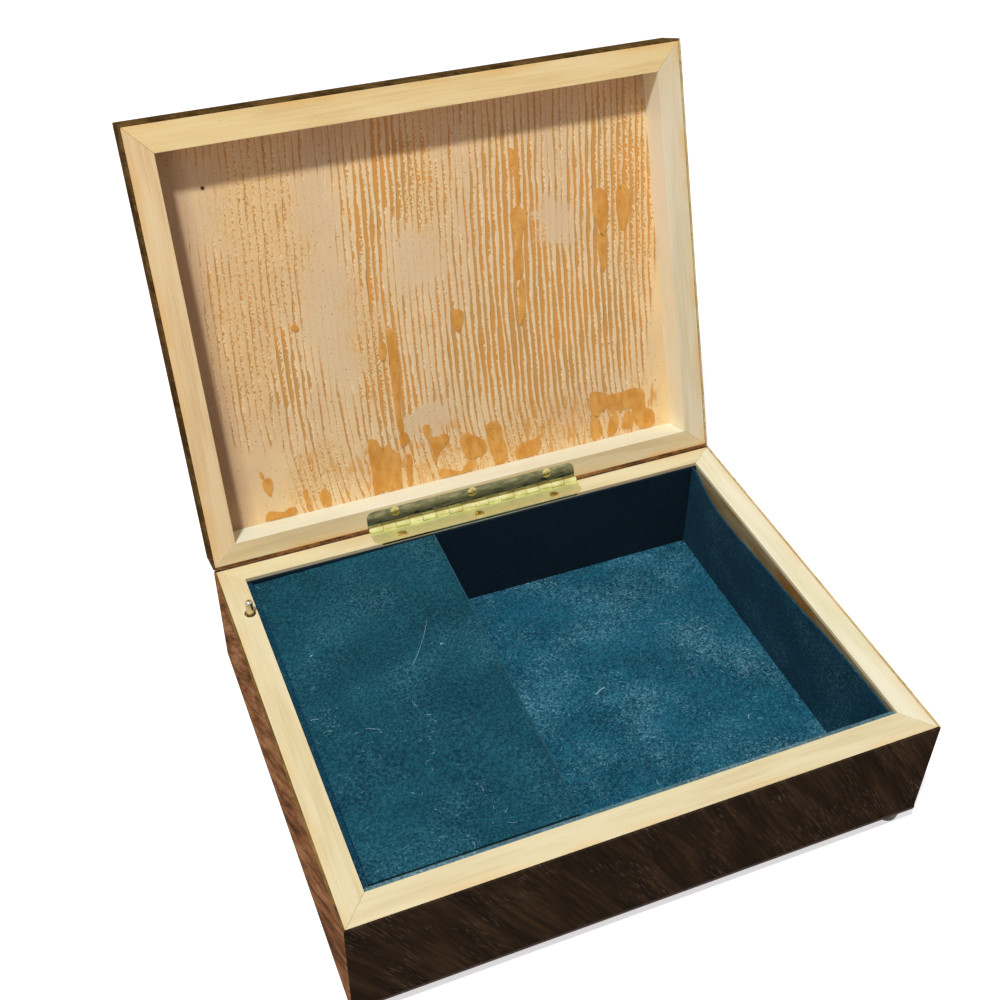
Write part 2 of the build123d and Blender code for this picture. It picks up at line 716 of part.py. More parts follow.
def cylinder_arbor():
    """The shaft through the cylinder, its pinion and its wheel."""
    return in_movement(rod(CYLINDER_ARBOR_RADIUS, -14.6, 14.3, "Y", (0, CYLINDER_Z)))


def cylinder_pinion():
    """The small pinion that the barrel drives."""
    face = gear_face(PINION_TEETH, CROWN_MODULE, 0.8, 1.15, -90 + 180 / PINION_TEETH)
    face -= RegularPolygon(CYLINDER_ARBOR_RADIUS, BORE_SIDES, major_radius=False)
    y_low = BARREL_Y + CROWN_RADIUS - 0.75
    return in_movement(upright_gear(face, 0, CYLINDER_Z, y_low, y_low + 1.5))


def worm_direction():
    """Direction from the cylinder's axis to the worm wheel's axis, in degrees."""
    return math.degrees(math.atan2(WORM_ARBOR_Z - CYLINDER_Z, WORM_ARBOR_X))


def cylinder_wheel():
    """The larger wheel at the far end of the cylinder."""
    face = gear_face(WHEEL_TEETH, WHEEL_MODULE, 0.75, 1.2, worm_direction())
    face -= RegularPolygon(CYLINDER_ARBOR_RADIUS, BORE_SIDES, major_radius=False)
    return in_movement(upright_gear(face, 0, CYLINDER_Z, 10.3, 11.8))


def barrel_disc(radius, bottom, top):
    """A disc of the barrel, with a side to each tooth of its crown."""
    return Pos(0, 0, bottom) * extrude(RegularPolygon(radius, CROWN_TEETH), top - bottom)


def spring_barrel():
    """The spring's cup with the crown of teeth on its flange."""
    floor = BARREL_BOTTOM + BARREL_WALL
    cup = barrel_disc(BARREL_RADIUS, BARREL_BOTTOM, BARREL_TOP)
    cup += barrel_disc(FLANGE_RADIUS, FLANGE_Z[0], FLANGE_Z[1])
    cup -= barrel_disc(BARREL_RADIUS - BARREL_WALL, floor, BARREL_TOP)
    cup -= bore(ARBOR_RADIUS + RUNNING_CLEARANCE, BARREL_BOTTOM, floor)
    pitch_z = CYLINDER_Z - PINION_TEETH * CROWN_MODULE / 2
    slope = math.tan(math.radians(20))
    half = math.pi * CROWN_MODULE * TOOTH_SHARE / 2
    tip = 0.8 * CROWN_MODULE
    root = pitch_z - FLANGE_Z[1] + 0.1
    outline = Plane.YZ * Polygon(
        (-half - root * slope, pitch_z - root), (half + root * slope, pitch_z - root),
        (half - tip * slope, pitch_z + tip), (-half + tip * slope, pitch_z + tip), align=None)
    tooth = Pos(CROWN_RADIUS - 0.55, 0, 0) * extrude(outline, 1.1, dir=(1, 0, 0))
    teeth = [Rot(0, 0, 90 + 360 * k / CROWN_TEETH) * tooth for k in range(CROWN_TEETH)]
    return in_movement(Pos(0, BARREL_Y, 0) * cup.fuse(*teeth))


def barrel_cover():
    """The disc snapped into the cup's mouth."""
    cover = barrel_disc(BARREL_RADIUS - BARREL_WALL, BARREL_TOP - 0.8, BARREL_TOP)
    cover -= bore(ARBOR_RADIUS + RUNNING_CLEARANCE, BARREL_TOP - 0.8, BARREL_TOP)
    return in_movement(Pos(0, BARREL_Y, 0) * cover)


def mainspring():
    """The coiled ribbon between the arbor and the cup, in short straight lengths."""
    inner = ARBOR_RADIUS + 0.6
    outer = BARREL_RADIUS - BARREL_WALL - SPRING_THICKNESS - 0.2
    steps = SPRING_TURNS * SPRING_SIDES

    def edge(offset):
        places = []
        for step in range(steps + 1):
            radius = inner + (outer - inner) * step / steps + offset
            angle = 2 * math.pi * step / SPRING_SIDES
            places.append((radius * math.cos(angle), radius * math.sin(angle)))
        return places

    bottom = BARREL_BOTTOM + BARREL_WALL + 0.3
    top = BARREL_TOP - 1.2
    ribbon = prism(edge(SPRING_THICKNESS) + edge(0)[::-1], bottom, top)
    return in_movement(Pos(0, BARREL_Y, 0) * ribbon)


def winding_arbor():
    """The upright arbor that the key turns and the spring hooks on."""
    arbor = rod(ARBOR_RADIUS, KEY_TOP - 4, BARREL_TOP + 0.6)
    arbor += bore(0.96, BARREL_TOP + 0.6, BARREL_TOP + 2.8)
    return in_movement(Pos(0, BARREL_Y, 0) * arbor)


def barrel_bridge():
    """The strap over the barrel that steadies the arbor's upper pivot."""
    leg = FLANGE_RADIUS + 1.2
    top = BARREL_TOP + 1.0
    strap = block((-leg - 1.5, -3, top), (leg + 1.5, 3, top + 1.5))
    for side in (-1, 1):
        x = side * (leg + 0.75)
        strap += block((x - 0.75, -3, 0), (x + 0.75, 3, top + 1.5))
    strap = fillet(strap.edges().filter_by(Axis.Y).group_by(Axis.Z)[-1], 1.2)
    strap -= bore(1.0 + RUNNING_CLEARANCE, top, top + 1.5)
    return in_movement(Pos(0, BARREL_Y, 0) * strap)


def ratchet_wheel():
    """The saw-toothed wheel fixed on the arbor."""
    points = []
    for tooth in range(RATCHET_TEETH):
        angle = 2 * math.pi * tooth / RATCHET_TEETH
        points.append((RATCHET_RADIUS * math.cos(angle), RATCHET_RADIUS * math.sin(angle)))
        angle += 0.12 * 2 * math.pi / RATCHET_TEETH
        root = RATCHET_RADIUS - 1.1
        points.append((root * math.cos(angle), root * math.sin(angle)))
    wheel = prism(points, *RATCHET_Z) - bore(ARBOR_RADIUS, *RATCHET_Z)
    return in_movement(Pos(0, BARREL_Y, 0) * wheel)


def click_pivot():
    """The stud that the click turns on, in the movement's frame."""
    return CLICK_PIVOT[0], BARREL_Y + CLICK_PIVOT[1]


def click():
    """The pawl, shown lifted just clear of the ratchet teeth."""
    distance = math.hypot(*CLICK_PIVOT)
    tip_radius = RATCHET_RADIUS + CLICK_GAP
    pivot_angle = math.atan2(CLICK_PIVOT[1], CLICK_PIVOT[0])
    tip_angle = pivot_angle + math.acos(tip_radius / distance)
    tip = Vector(tip_radius * math.cos(tip_angle), tip_radius * math.sin(tip_angle))
    pivot = Vector(*CLICK_PIVOT)
    along = (tip - pivot).normalized()
    across = Vector(math.cos(tip_angle), math.sin(tip_angle))
    corners = [tip, tip + across * 1.3 - along * 0.8, pivot + across * 2.0 - along * 0.8,
               pivot + across * 1.0 + along * -2.0, pivot - across * 1.2 - along * 1.8,
               pivot - across * 2.0 + along * 0.8]
    arm = prism([(corner.X, corner.Y) for corner in corners], *RATCHET_Z)
    arm -= bore(CLICK_STUD_RADIUS + RUNNING_CLEARANCE, *RATCHET_Z, at=CLICK_PIVOT)
    return in_movement(Pos(0, BARREL_Y, 0) * arm)


def winding_key():
    """The key under the box: a hub with two flat wings."""
    hub = rod(3.2, KEY_BOTTOM + 1.5, KEY_TOP) - bore(ARBOR_RADIUS, KEY_TOP - 4, KEY_TOP)
    wings = block((-KEY_SPAN / 2, -0.8, KEY_BOTTOM), (KEY_SPAN / 2, 0.8, KEY_TOP - 1.5))
    wings = chamfer(wings.edges().filter_by(Axis.Y), 2.0)
    key = hub + (wings - bore(ARBOR_RADIUS, KEY_TOP - 4, KEY_TOP))
    return in_movement(Pos(0, BARREL_Y, 0) * key)


def worm_arbor():
    """The cross shaft with the second pinion cut on it."""
    direction = worm_direction() + 180 + 180 / LEAF_TEETH
    face = gear_face(LEAF_TEETH, WHEEL_MODULE, 0.75, 1.2, direction)
    pinion = upright_gear(face, WORM_ARBOR_X, WORM_ARBOR_Z, 10.2, 11.9)
    shaft = bore(WORM_ARBOR_RADIUS, 9.8, FRAME_Y[1] - 0.3, "Y", (WORM_ARBOR_X, WORM_ARBOR_Z))
    return in_movement(pinion + shaft)


def worm_wheel():
    """The narrow wheel that drives the endless screw."""
    face = gear_face(WORM_WHEEL_TEETH, WHEEL_MODULE, 0.7, 1.2, 180)
    face -= RegularPolygon(WORM_ARBOR_RADIUS, BORE_SIDES, major_radius=False)
    return in_movement(upright_gear(face, WORM_ARBOR_X, WORM_ARBOR_Z, WORM_WHEEL_Y - 0.5,
                                    WORM_WHEEL_Y + 0.5))


def governor_frame():
    """The bent bracket that carries the endless screw, the cross shaft and the lever."""
    front = WORM_WHEEL_Y - 2
    inside, back = FRAME_Y
    left = LEVER_PIVOT_X - MOVEMENT_X - 2.5
    frame = block((left, inside, 0), (WORM_ARBOR_X + 3, back, 23.8))
    frame -= block((left, inside, 0), (SCREW_AXIS_X - 2.2, back, 12))
    frame += block((SCREW_AXIS_X - 2, front, 22.6), (SCREW_AXIS_X + 2, back, 23.8))
    frame += block((SCREW_AXIS_X - 2, front, 0), (SCREW_AXIS_X + 2, back, 1.2))
    pivot = 0.5 + RUNNING_CLEARANCE
    frame -= bore(pivot, 0.2, 1.2, at=(SCREW_AXIS_X, WORM_WHEEL_Y))
    frame -= bore(pivot, 22.6, 23.8, at=(SCREW_AXIS_X, WORM_WHEEL_Y))
    worm_bore = WORM_ARBOR_RADIUS + RUNNING_CLEARANCE
    frame -= bore(worm_bore, inside, back, "Y", (WORM_ARBOR_X, WORM_ARBOR_Z))
    lever_place = (LEVER_PIVOT_X - MOVEMENT_X, LEVER_PIVOT_Z)
    frame -= bore(LEVER_STUD_RADIUS, inside, back, "Y", lever_place)
    return in_movement(frame)


def thread_corners(step):
    """The thread's four corners where its helix has turned by a number of the shaft's sides."""
    half = SCREW_LEAD * TOOTH_SHARE / 2
    slope = math.tan(math.radians(20))
    core = SCREW_CORE_RADIUS - THREAD_SINK
    inner = SCREW_PITCH_RADIUS - core
    outer = SCREW_OUTER_RADIUS - SCREW_PITCH_RADIUS
    outline = ((core, -half - inner * slope), (SCREW_OUTER_RADIUS, -half + outer * slope),
               (SCREW_OUTER_RADIUS, half - outer * slope), (core, half + inner * slope))
    turn = step / BORE_SIDES
    angle = 2 * math.pi * turn
    rise = SCREW_START_Z + turn * SCREW_LEAD
    return [Vector(r * math.cos(angle), r * math.sin(angle), z + rise) for r, z in outline]


def screw_thread():
    """The endless screw's thread, with flat faces from each side of the shaft to the next."""
    sections = [thread_corners(step) for step in range(SCREW_TURNS * BORE_SIDES + 1)]
    outlines = [sections[0], sections[-1]]
    for near, far in zip(sections, sections[1:]):
        for side in range(len(near)):
            beside = (side + 1) % len(near)
            outlines.append([near[side], near[beside], far[side]])
            outlines.append([near[beside], far[beside], far[side]])
    return Solid(Shell([Face(Wire.make_polygon(outline)) for outline in outlines]))


def endless_screw():
    """The upright worm with its pivots and the brake disc above the thread."""
    shaft = bore(SCREW_CORE_RADIUS, 1.4, 22.4) + bore(0.48, 0.3, 1.4) + bore(0.48, 22.4, 23.7)
    shaft += rod(BRAKE_DISC_RADIUS, BRAKE_DISC_Z, BRAKE_DISC_Z + 0.6)
    return in_movement(Pos(SCREW_AXIS_X, WORM_WHEEL_Y, 0) * (shaft + screw_thread()))


def air_brake():
    """The two-winged fan that slows the cylinder."""
    half = WING_SPAN / 2
    wings = block((-half, -0.2, WING_Z[0]), (half, 0.2, WING_Z[1]))
    wings = chamfer(wings.edges().filter_by(Axis.Y), 0.8)
    hub = block((-1.5, -1.5, WING_Z[0]), (1.5, 1.5, WING_Z[1]))
    fan = hub + wings - bore(SCREW_CORE_RADIUS, *WING_Z)
    return in_movement(Pos(SCREW_AXIS_X, WORM_WHEEL_Y, 0) * fan)


def lever_pivot():
    """The stud that the stop lever turns on."""
    x = LEVER_PIVOT_X - MOVEMENT_X
    stud = rod(LEVER_STUD_RADIUS, WORM_WHEEL_Y - 1.6, FRAME_Y[1], "Y", (x, LEVER_PIVOT_Z))
    return in_movement(stud)


def stop_lever():
    """The lever between the pin and the brake disc, tilted as it is with the lid open."""
    half = LEVER_THICKNESS / 2
    y_half = LEVER_WIDTH / 2
    arm = block((-LEVER_LONG_ARM - 0.9, -y_half, -half), (LEVER_SHORT_ARM + 0.2, y_half, half))
    hub = block((-1.8, -y_half, -1.8), (1.8, y_half, 1.8))
    hub = chamfer(hub.edges().filter_by(Axis.Y), 0.9)
    lever = arm + hub - bore(LEVER_STUD_RADIUS + RUNNING_CLEARANCE, -y_half, y_half, "Y")
    place = (LEVER_PIVOT_X - MOVEMENT_X, WORM_WHEEL_Y, LEVER_PIVOT_Z)
    return in_movement(Pos(*place) * Rot(0, LEVER_SWING, 0) * lever)


def open_lid(shape):
    """Turn a lid piece from closed to open about the hinge."""
    back = Pos(0, OUTER_Y, HINGE_Z)
    return back * Rot(-OPEN_ANGLE, 0, 0) * back.inverse() * shape


def fixed_and_moving_pieces():
    """Every piece that is drawn in its place in the case."""
    pieces = {**case_walls(), **case_veneers()}
    makers = (bottom_panel, feet, divider_wall, divider_lining, platform_cleats,
              platform_board, platform_lining, floor_lining, front_lining, left_lining,
              back_lining, right_lining, body_hinge_leaf, hinge_pin, stop_pin, stop_pin_bush,
              stop_lever, lever_pivot, bedplate, spring_barrel, barrel_cover, mainspring,
              winding_arbor, barrel_bridge, ratchet_wheel, click, winding_key,
              pinned_cylinder, cylinder_arbor, cylinder_pinion, cylinder_wheel, comb,
              comb_screws, worm_arbor, worm_wheel, governor_frame, endless_screw, air_brake)
    for make in makers:
        pieces[make.__name__] = make()
    pieces["body_hinge_screws"] = Compound([s.solid() for s in body_screws()])
    pieces["movement_screws"] = Compound([s.solid() for s in movement_screws()])
    return pieces


def lid_pieces():
    """Every piece of the lid, drawn closed."""
    pieces = {**lid_rails(), **lid_veneers()}
    pieces["lid_top_panel"] = lid_top_panel()
    pieces["lid_hinge_leaf"] = lid_hinge_leaf()
    pieces["lid_hinge_screws"] = Compound([s.solid() for s in lid_screws()])
    return pieces


def main():
    """Build every piece, stand the box on its feet and write one file for each piece."""
    os.makedirs("parts", exist_ok=True)
    pieces = fixed_and_moving_pieces()
    for name, shape in lid_pieces().items():
        pieces[name] = open_lid(shape)
    for name, shape in pieces.items():
        export_step(Pos(0, CASE_Y, RIM_Z) * shape, f"parts/{name}.step")
    print("pieces", len(pieces))
    print("case centre y", round(CASE_Y, 3), "rim z", RIM_Z)
    print("lever swing", round(2 * LEVER_SWING, 3), "degrees, pivot z",
          round(RIM_Z + MOVEMENT_Z + LEVER_PIVOT_Z, 3))


main()
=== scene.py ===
"""Musical jewelry box: worn finishes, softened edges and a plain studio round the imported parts."""

import json
import logging
import math
import random
from dataclasses import dataclass
from enum import Enum
from typing import Callable

import bpy
from mathutils import Matrix, Vector

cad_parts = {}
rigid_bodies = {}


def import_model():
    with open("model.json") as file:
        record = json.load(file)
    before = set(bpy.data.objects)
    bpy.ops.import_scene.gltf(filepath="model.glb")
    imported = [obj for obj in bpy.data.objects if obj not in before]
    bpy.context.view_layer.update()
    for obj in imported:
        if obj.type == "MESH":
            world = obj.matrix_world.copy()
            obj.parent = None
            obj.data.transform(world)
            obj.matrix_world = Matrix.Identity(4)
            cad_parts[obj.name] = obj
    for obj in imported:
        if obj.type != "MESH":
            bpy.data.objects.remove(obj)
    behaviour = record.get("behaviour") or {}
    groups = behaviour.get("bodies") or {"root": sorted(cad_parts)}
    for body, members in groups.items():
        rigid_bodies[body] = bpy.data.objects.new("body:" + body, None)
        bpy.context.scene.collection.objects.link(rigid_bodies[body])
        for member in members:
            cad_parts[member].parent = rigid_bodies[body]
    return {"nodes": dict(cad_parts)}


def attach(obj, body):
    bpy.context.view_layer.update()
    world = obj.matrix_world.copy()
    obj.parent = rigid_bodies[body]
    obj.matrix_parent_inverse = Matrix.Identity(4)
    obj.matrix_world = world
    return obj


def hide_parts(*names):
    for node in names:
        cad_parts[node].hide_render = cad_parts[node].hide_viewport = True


for leftover in list(bpy.data.objects):
    bpy.data.objects.remove(leftover)
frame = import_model()

log = logging.getLogger("jewelry_box")

Tree = bpy.types.NodeTree
Node = bpy.types.Node
Piece = bpy.types.Object
Tones = tuple[str, str, str]
Triple = tuple[float, float, float]
Test = Callable[[bpy.types.MeshPolygon], bool]

MM = 0.001
HINGE_POINT = Vector((0.0, 47.242, 53.65))
LID_UP = Vector((0.0, 0.3486, 0.9373))
LID_BACK = Vector((0.0, 0.9373, -0.3486))
RIM = 53.5
STAIN = ("#2B1F18", "#3A2A20", "#4C3728")
SANDED = ("#B79F66", "#CDB87E", "#DCCB96")
CASE_MIDDLE = (0.0, -36.758, RIM)
CASE_HALF = (108.0, 84.0)
LID_MIDDLE = (0.0, 76.525, 132.383)


def lid_point(x: float, up: float, deep: float) -> Vector:
    """A point of the open lid in metres, from mm along, up from and behind the hinge line."""
    return (HINGE_POINT + Vector((x, 0.0, 0.0)) + LID_UP * up + LID_BACK * deep) * MM


def paint(code: str) -> tuple[float, float, float, float]:
    """An sRGB hex colour as the linear RGBA that Blender's sockets take."""
    channels = [int(code[at : at + 2], 16) / 255 for at in (1, 3, 5)]
    linear = [c / 12.92 if c <= 0.04045 else ((c + 0.055) / 1.055) ** 2.4 for c in channels]
    return (linear[0], linear[1], linear[2], 1.0)


def connect(tree: Tree, node: Node, feeds: dict | tuple) -> Node:
    """Fills a node's inputs.

    Args:
        tree: The node tree that both ends are in.
        node: The node whose inputs are filled.
        feeds: Values by input name or number, or a tuple of the first inputs' values. Each is
            a node, an output socket, a hex colour or a plain value.

    Returns:
        The same node.
    """
    for socket, value in feeds.items() if isinstance(feeds, dict) else enumerate(feeds):
        if isinstance(value, Node):
            value = next(output for output in value.outputs if output.enabled)
        if isinstance(value, bpy.types.NodeSocket):
            tree.links.new(value, node.inputs[socket])
        elif isinstance(value, str):
            node.inputs[socket].default_value = paint(value)
        else:
            node.inputs[socket].default_value = value
    return node


MODES = {
    "Math": "operation",
    "VectorMath": "operation",
    "Mix": "data_type",
    "MapRange": "interpolation_type",
    "TexWhiteNoise": "noise_dimensions",
}


def put(tree: Tree, kind: str, feeds: dict | tuple = (), mode: str = "", stops: tuple = ()) -> Node:
    """Adds one shader node with its settings and links.

    Args:
        tree: The node tree it goes into.
        kind: The node's type, without the ShaderNode in front.
        feeds: What connect puts on its inputs.
        mode: Its operation, or whatever else sets its kind apart.
        stops: A colour ramp's (position, hex colour) pairs.

    Returns:
        The new node.
    """
    node = tree.nodes.new("ShaderNode" + kind)
    if mode:
        setattr(node, MODES[kind], mode)
    for place, (position, colour) in enumerate(stops):
        ramp = node.color_ramp.elements
        stop = ramp[place] if place < 2 else ramp.new(position)
        stop.position = position
        stop.color = paint(colour)
    return connect(tree, node, feeds)


def patches(
    tree: Tree,
    place: Node,
    size: Triple,
    low: float,
    high: float,
    detail: float = 2.0,
) -> Node:
    """A pattern of soft patches.

    Args:
        tree: The node tree it is made in.
        place: Coordinates in mm.
        size: Size of one patch along each of those coordinates, in mm.
        low: Noise level at which the patches begin.
        high: Noise level at which they are full.
        detail: Octaves of finer noise on them.

    Returns:
        A node from 0 outside the patches to 1 in them.
    """
    scale = tuple(1.0 / length for length in size)
    sized = put(tree, "VectorMath", (place, scale), "MULTIPLY")
    noise = put(tree, "TexNoise", {"Vector": sized, "Scale": 1.0, "Detail": detail})
    return put(tree, "MapRange", (noise, low, high), "SMOOTHSTEP")


def seen_or_mirrored(tree: Tree) -> Node:
    """A node that is 1 for what the camera sees, straight or by mirror or glass, and else 0."""
    light = put(tree, "LightPath")
    seen = light.outputs["Is Camera Ray"]
    for ray in ("Is Glossy Ray", "Is Transmission Ray"):
        seen = put(tree, "Math", (seen, light.outputs[ray]), "MAXIMUM")
    return seen


@dataclass(frozen=True)
class Lay:
    """How a pattern lies on a piece.

    Attributes:
        along: Direction of the grain.
        across: Direction across the grain, in the face.
        middle: Point that the pattern starts from, in mm.
    """

    along: Triple
    across: Triple
    middle: Triple

    def coordinates(self, tree: Tree) -> Node:
        """Coordinates in mm along the grain, across it and through the face."""
        along = Vector(self.along).normalized()
        across = Vector(self.across).normalized()
        turn = Matrix((along, across, along.cross(across)))
        shift = -(turn @ Vector(self.middle)) * MM
        source = put(tree, "TexCoord").outputs["Object"]
        feeds = {"Vector": source, "Location": shift, "Rotation": turn.to_euler()}
        turned = put(tree, "Mapping", feeds)
        return put(tree, "VectorMath", {0: turned, "Scale": 1 / MM}, "SCALE")


class Run(Enum):
    """The lays that this box's pieces use."""

    CASE_WIDE = Lay((1, 0, 0), (0, 1, 0), CASE_MIDDLE)
    CASE_DEEP = Lay((0, 1, 0), (-1, 0, 0), CASE_MIDDLE)
    LID_WIDE = Lay((1, 0, 0), tuple(LID_UP), LID_MIDDLE)
    LID_HIGH = Lay(tuple(LID_UP), (1, 0, 0), LID_MIDDLE)
    LID_BOARD = Lay((1, 0, 0), tuple(LID_UP), tuple(HINGE_POINT))
    FRONT_SLANT = Lay((0.51, 0, -0.86), (0.86, 0, 0.51), (0, -120.7, 30))
    SIDE_SLANT = Lay((0, -0.74, 0.67), (0, 0.67, 0.74), (0, -36.8, 30))
    LID_SLANT = Lay((0.8, 0, -0.6), (0.6, 0.3, 0.8), (0, 110, 200))
    UPRIGHT = Lay((0, 0, 1), (1, 0, 0), (0, 0, 0))


@dataclass(frozen=True)
class Finish:
    """A finish, made into a material once.

    Attributes:
        name: The material's name, for what it really is.
    """

    name: str

    def material(self) -> bpy.types.Material:
        """The finished material."""
        made = bpy.data.materials.get(self.name)
        if made is None:
            made = bpy.data.materials.new(self.name)
            made.use_nodes = True
            self.pattern(made.node_tree, made.node_tree.nodes["Principled BSDF"])
        return made

    def pattern(self, tree: Tree, shader: Node) -> None:
        """Builds the finish's own nodes."""
        raise NotImplementedError

    def coat(
        self,
        shader: Node,
        colour: Node,
        gloss: Node | float,
        relief: tuple,
        shine: float = 0.5,
        more: dict | None = None,
    ) -> None:
        """Puts a finish's nodes on its shader.

        Args:
            shader: The material's shader.
            colour: Its colour.
            gloss: Its roughness.
            relief: Height, strength and depth in metres of its surface texture.
            shine: Its specular level.
            more: Its other inputs.
        """
        tree = shader.id_data
        bump = put(tree, "Bump", dict(zip(("Height", "Strength", "Distance"), relief)))
        feeds = {"Base Color": colour, "Roughness": gloss, "Normal": bump, "Specular IOR Level": shine}
        connect(tree, shader, feeds | (more or {}))


@dataclass(frozen=True)
class PlanedMaple(Finish):
    """Planed maple under thin clear lacquer: pale, close grained, amber where it is handled.

    Attributes:
        lay: How the grain lies.
        half: Half the frame's size along and across the grain, in mm.
        tones: Darkest, middle and lightest tone of the planed face.
        handled: How amber its outer edge has turned, from 0 to 1.
        bare_below: Depth under the face where the wood is left raw, in mm.
    """

    lay: Lay = Run.CASE_WIDE.value
    half: tuple[float, float] = (107.0, 83.5)
    tones: Tones = ("#DCC491", "#E6D4A6", "#EDDFB6")
    handled: float = 0.35
    bare_below: float = 1.2

    def pattern(self, tree: Tree, shader: Node) -> None:
        """Fine long grain, broad tone, amber outer edge, short pores and raw inner faces."""
        place = self.lay.coordinates(tree)
        grain = patches(tree, place, (22, 0.7, 0.7), 0.3, 0.7, 4)
        broad = patches(tree, place, (60, 7, 30), 0.32, 0.68)
        tone = put(tree, "Math", (grain, 0.35), "MULTIPLY")
        mixed = put(tree, "Math", (broad, 0.55, tone), "MULTIPLY_ADD")
        stops = ((0.0, self.tones[0]), (1.0, self.tones[2]), (0.45, self.tones[1]))
        wood = put(tree, "ValToRGB", {"Fac": mixed}, stops=stops)
        axes = put(tree, "SeparateXYZ", (place,))
        edges = []
        for axis, half in enumerate(self.half):
            size = put(tree, "Math", (axes.outputs[axis],), "ABSOLUTE")
            edges.append(put(tree, "MapRange", (size, half - 3.6, half + 0.3)))
        edge = put(tree, "Math", (edges[0], edges[1]), "MAXIMUM")
        worn = patches(tree, place, (26, 26, 26), 0.38, 0.62, 3)
        amber = put(tree, "Math", (edge, worn), "MULTIPLY")
        share = put(tree, "Math", (amber, self.handled), "MULTIPLY")
        tinted = put(tree, "Mix", {0: share, 6: wood, 7: "#E6B566"}, "RGBA")
        pores = patches(tree, place, (3.4, 0.28, 0.6), 0.70, 0.78, 1)
        soft_pores = put(tree, "Math", (pores, 0.35), "MULTIPLY")
        pored = put(tree, "Mix", {0: soft_pores, 6: tinted, 7: "#B98F55"}, "RGBA")
        stain = patches(tree, place, (30, 18, 9), 0.35, 0.65, 3)
        raw = put(tree, "Mix", {0: stain, 6: "#A8A686", 7: "#9A7236"}, "RGBA")
        deep = put(tree, "Math", (axes.outputs[2],), "ABSOLUTE")
        inside = put(tree, "MapRange", (deep, self.bare_below, self.bare_below + 0.5))
        wood_or_raw = put(tree, "Mix", {0: inside, 6: pored, 7: raw}, "RGBA")
        gloss = put(tree, "MapRange", {0: broad, 3: 0.38, 4: 0.52})
        self.coat(shader, wood_or_raw, gloss, (grain, 0.12, 0.00006), 0.35)


@dataclass(frozen=True)
class StainedVeneer(Finish):
    """Stained walnut veneer under worn satin lacquer: dark, with pores and streaks on the slant.

    Attributes:
        lay: How the grain lies.
        tones: Darkest, middle and lightest colour of the stain.
        streak: Colour of the open pores.
        shine: Specular level of the lacquer.
    """

    lay: Lay = Run.FRONT_SLANT.value
    tones: Tones = ("#1B1512", "#251C17", "#33251D")
    streak: str = "#4A4038"
    shine: float = 0.0

    def pattern(self, tree: Tree, shader: Node) -> None:
        """Broad slanting figure, fine streaks, open pores and small pale scuffs."""
        place = self.lay.coordinates(tree)
        figure = patches(tree, place, (55, 6.5, 20), 0.3, 0.7, 3)
        fine = patches(tree, place, (20, 1.5, 5), 0.36, 0.64, 3)
        both = put(tree, "Math", (fine, 0.36), "MULTIPLY")
        mixed = put(tree, "Math", (figure, 0.64, both), "MULTIPLY_ADD")
        stops = ((0.05, self.tones[0]), (0.95, self.tones[2]), (0.5, self.tones[1]))
        stain = put(tree, "ValToRGB", {"Fac": mixed}, stops=stops)
        pores = patches(tree, place, (6.5, 0.5, 2), 0.58, 0.68, 1)
        grouped = patches(tree, place, (30, 16, 20), 0.42, 0.62)
        share = put(tree, "Math", (pores, grouped), "MULTIPLY")
        half = put(tree, "Math", (share, 0.85), "MULTIPLY")
        pored = put(tree, "Mix", {0: half, 6: stain, 7: self.streak}, "RGBA")
        gloss = put(tree, "MapRange", {0: figure, 3: 0.42, 4: 0.58})
        self.coat(shader, pored, gloss, (pores, 0.25, -0.00005), self.shine)


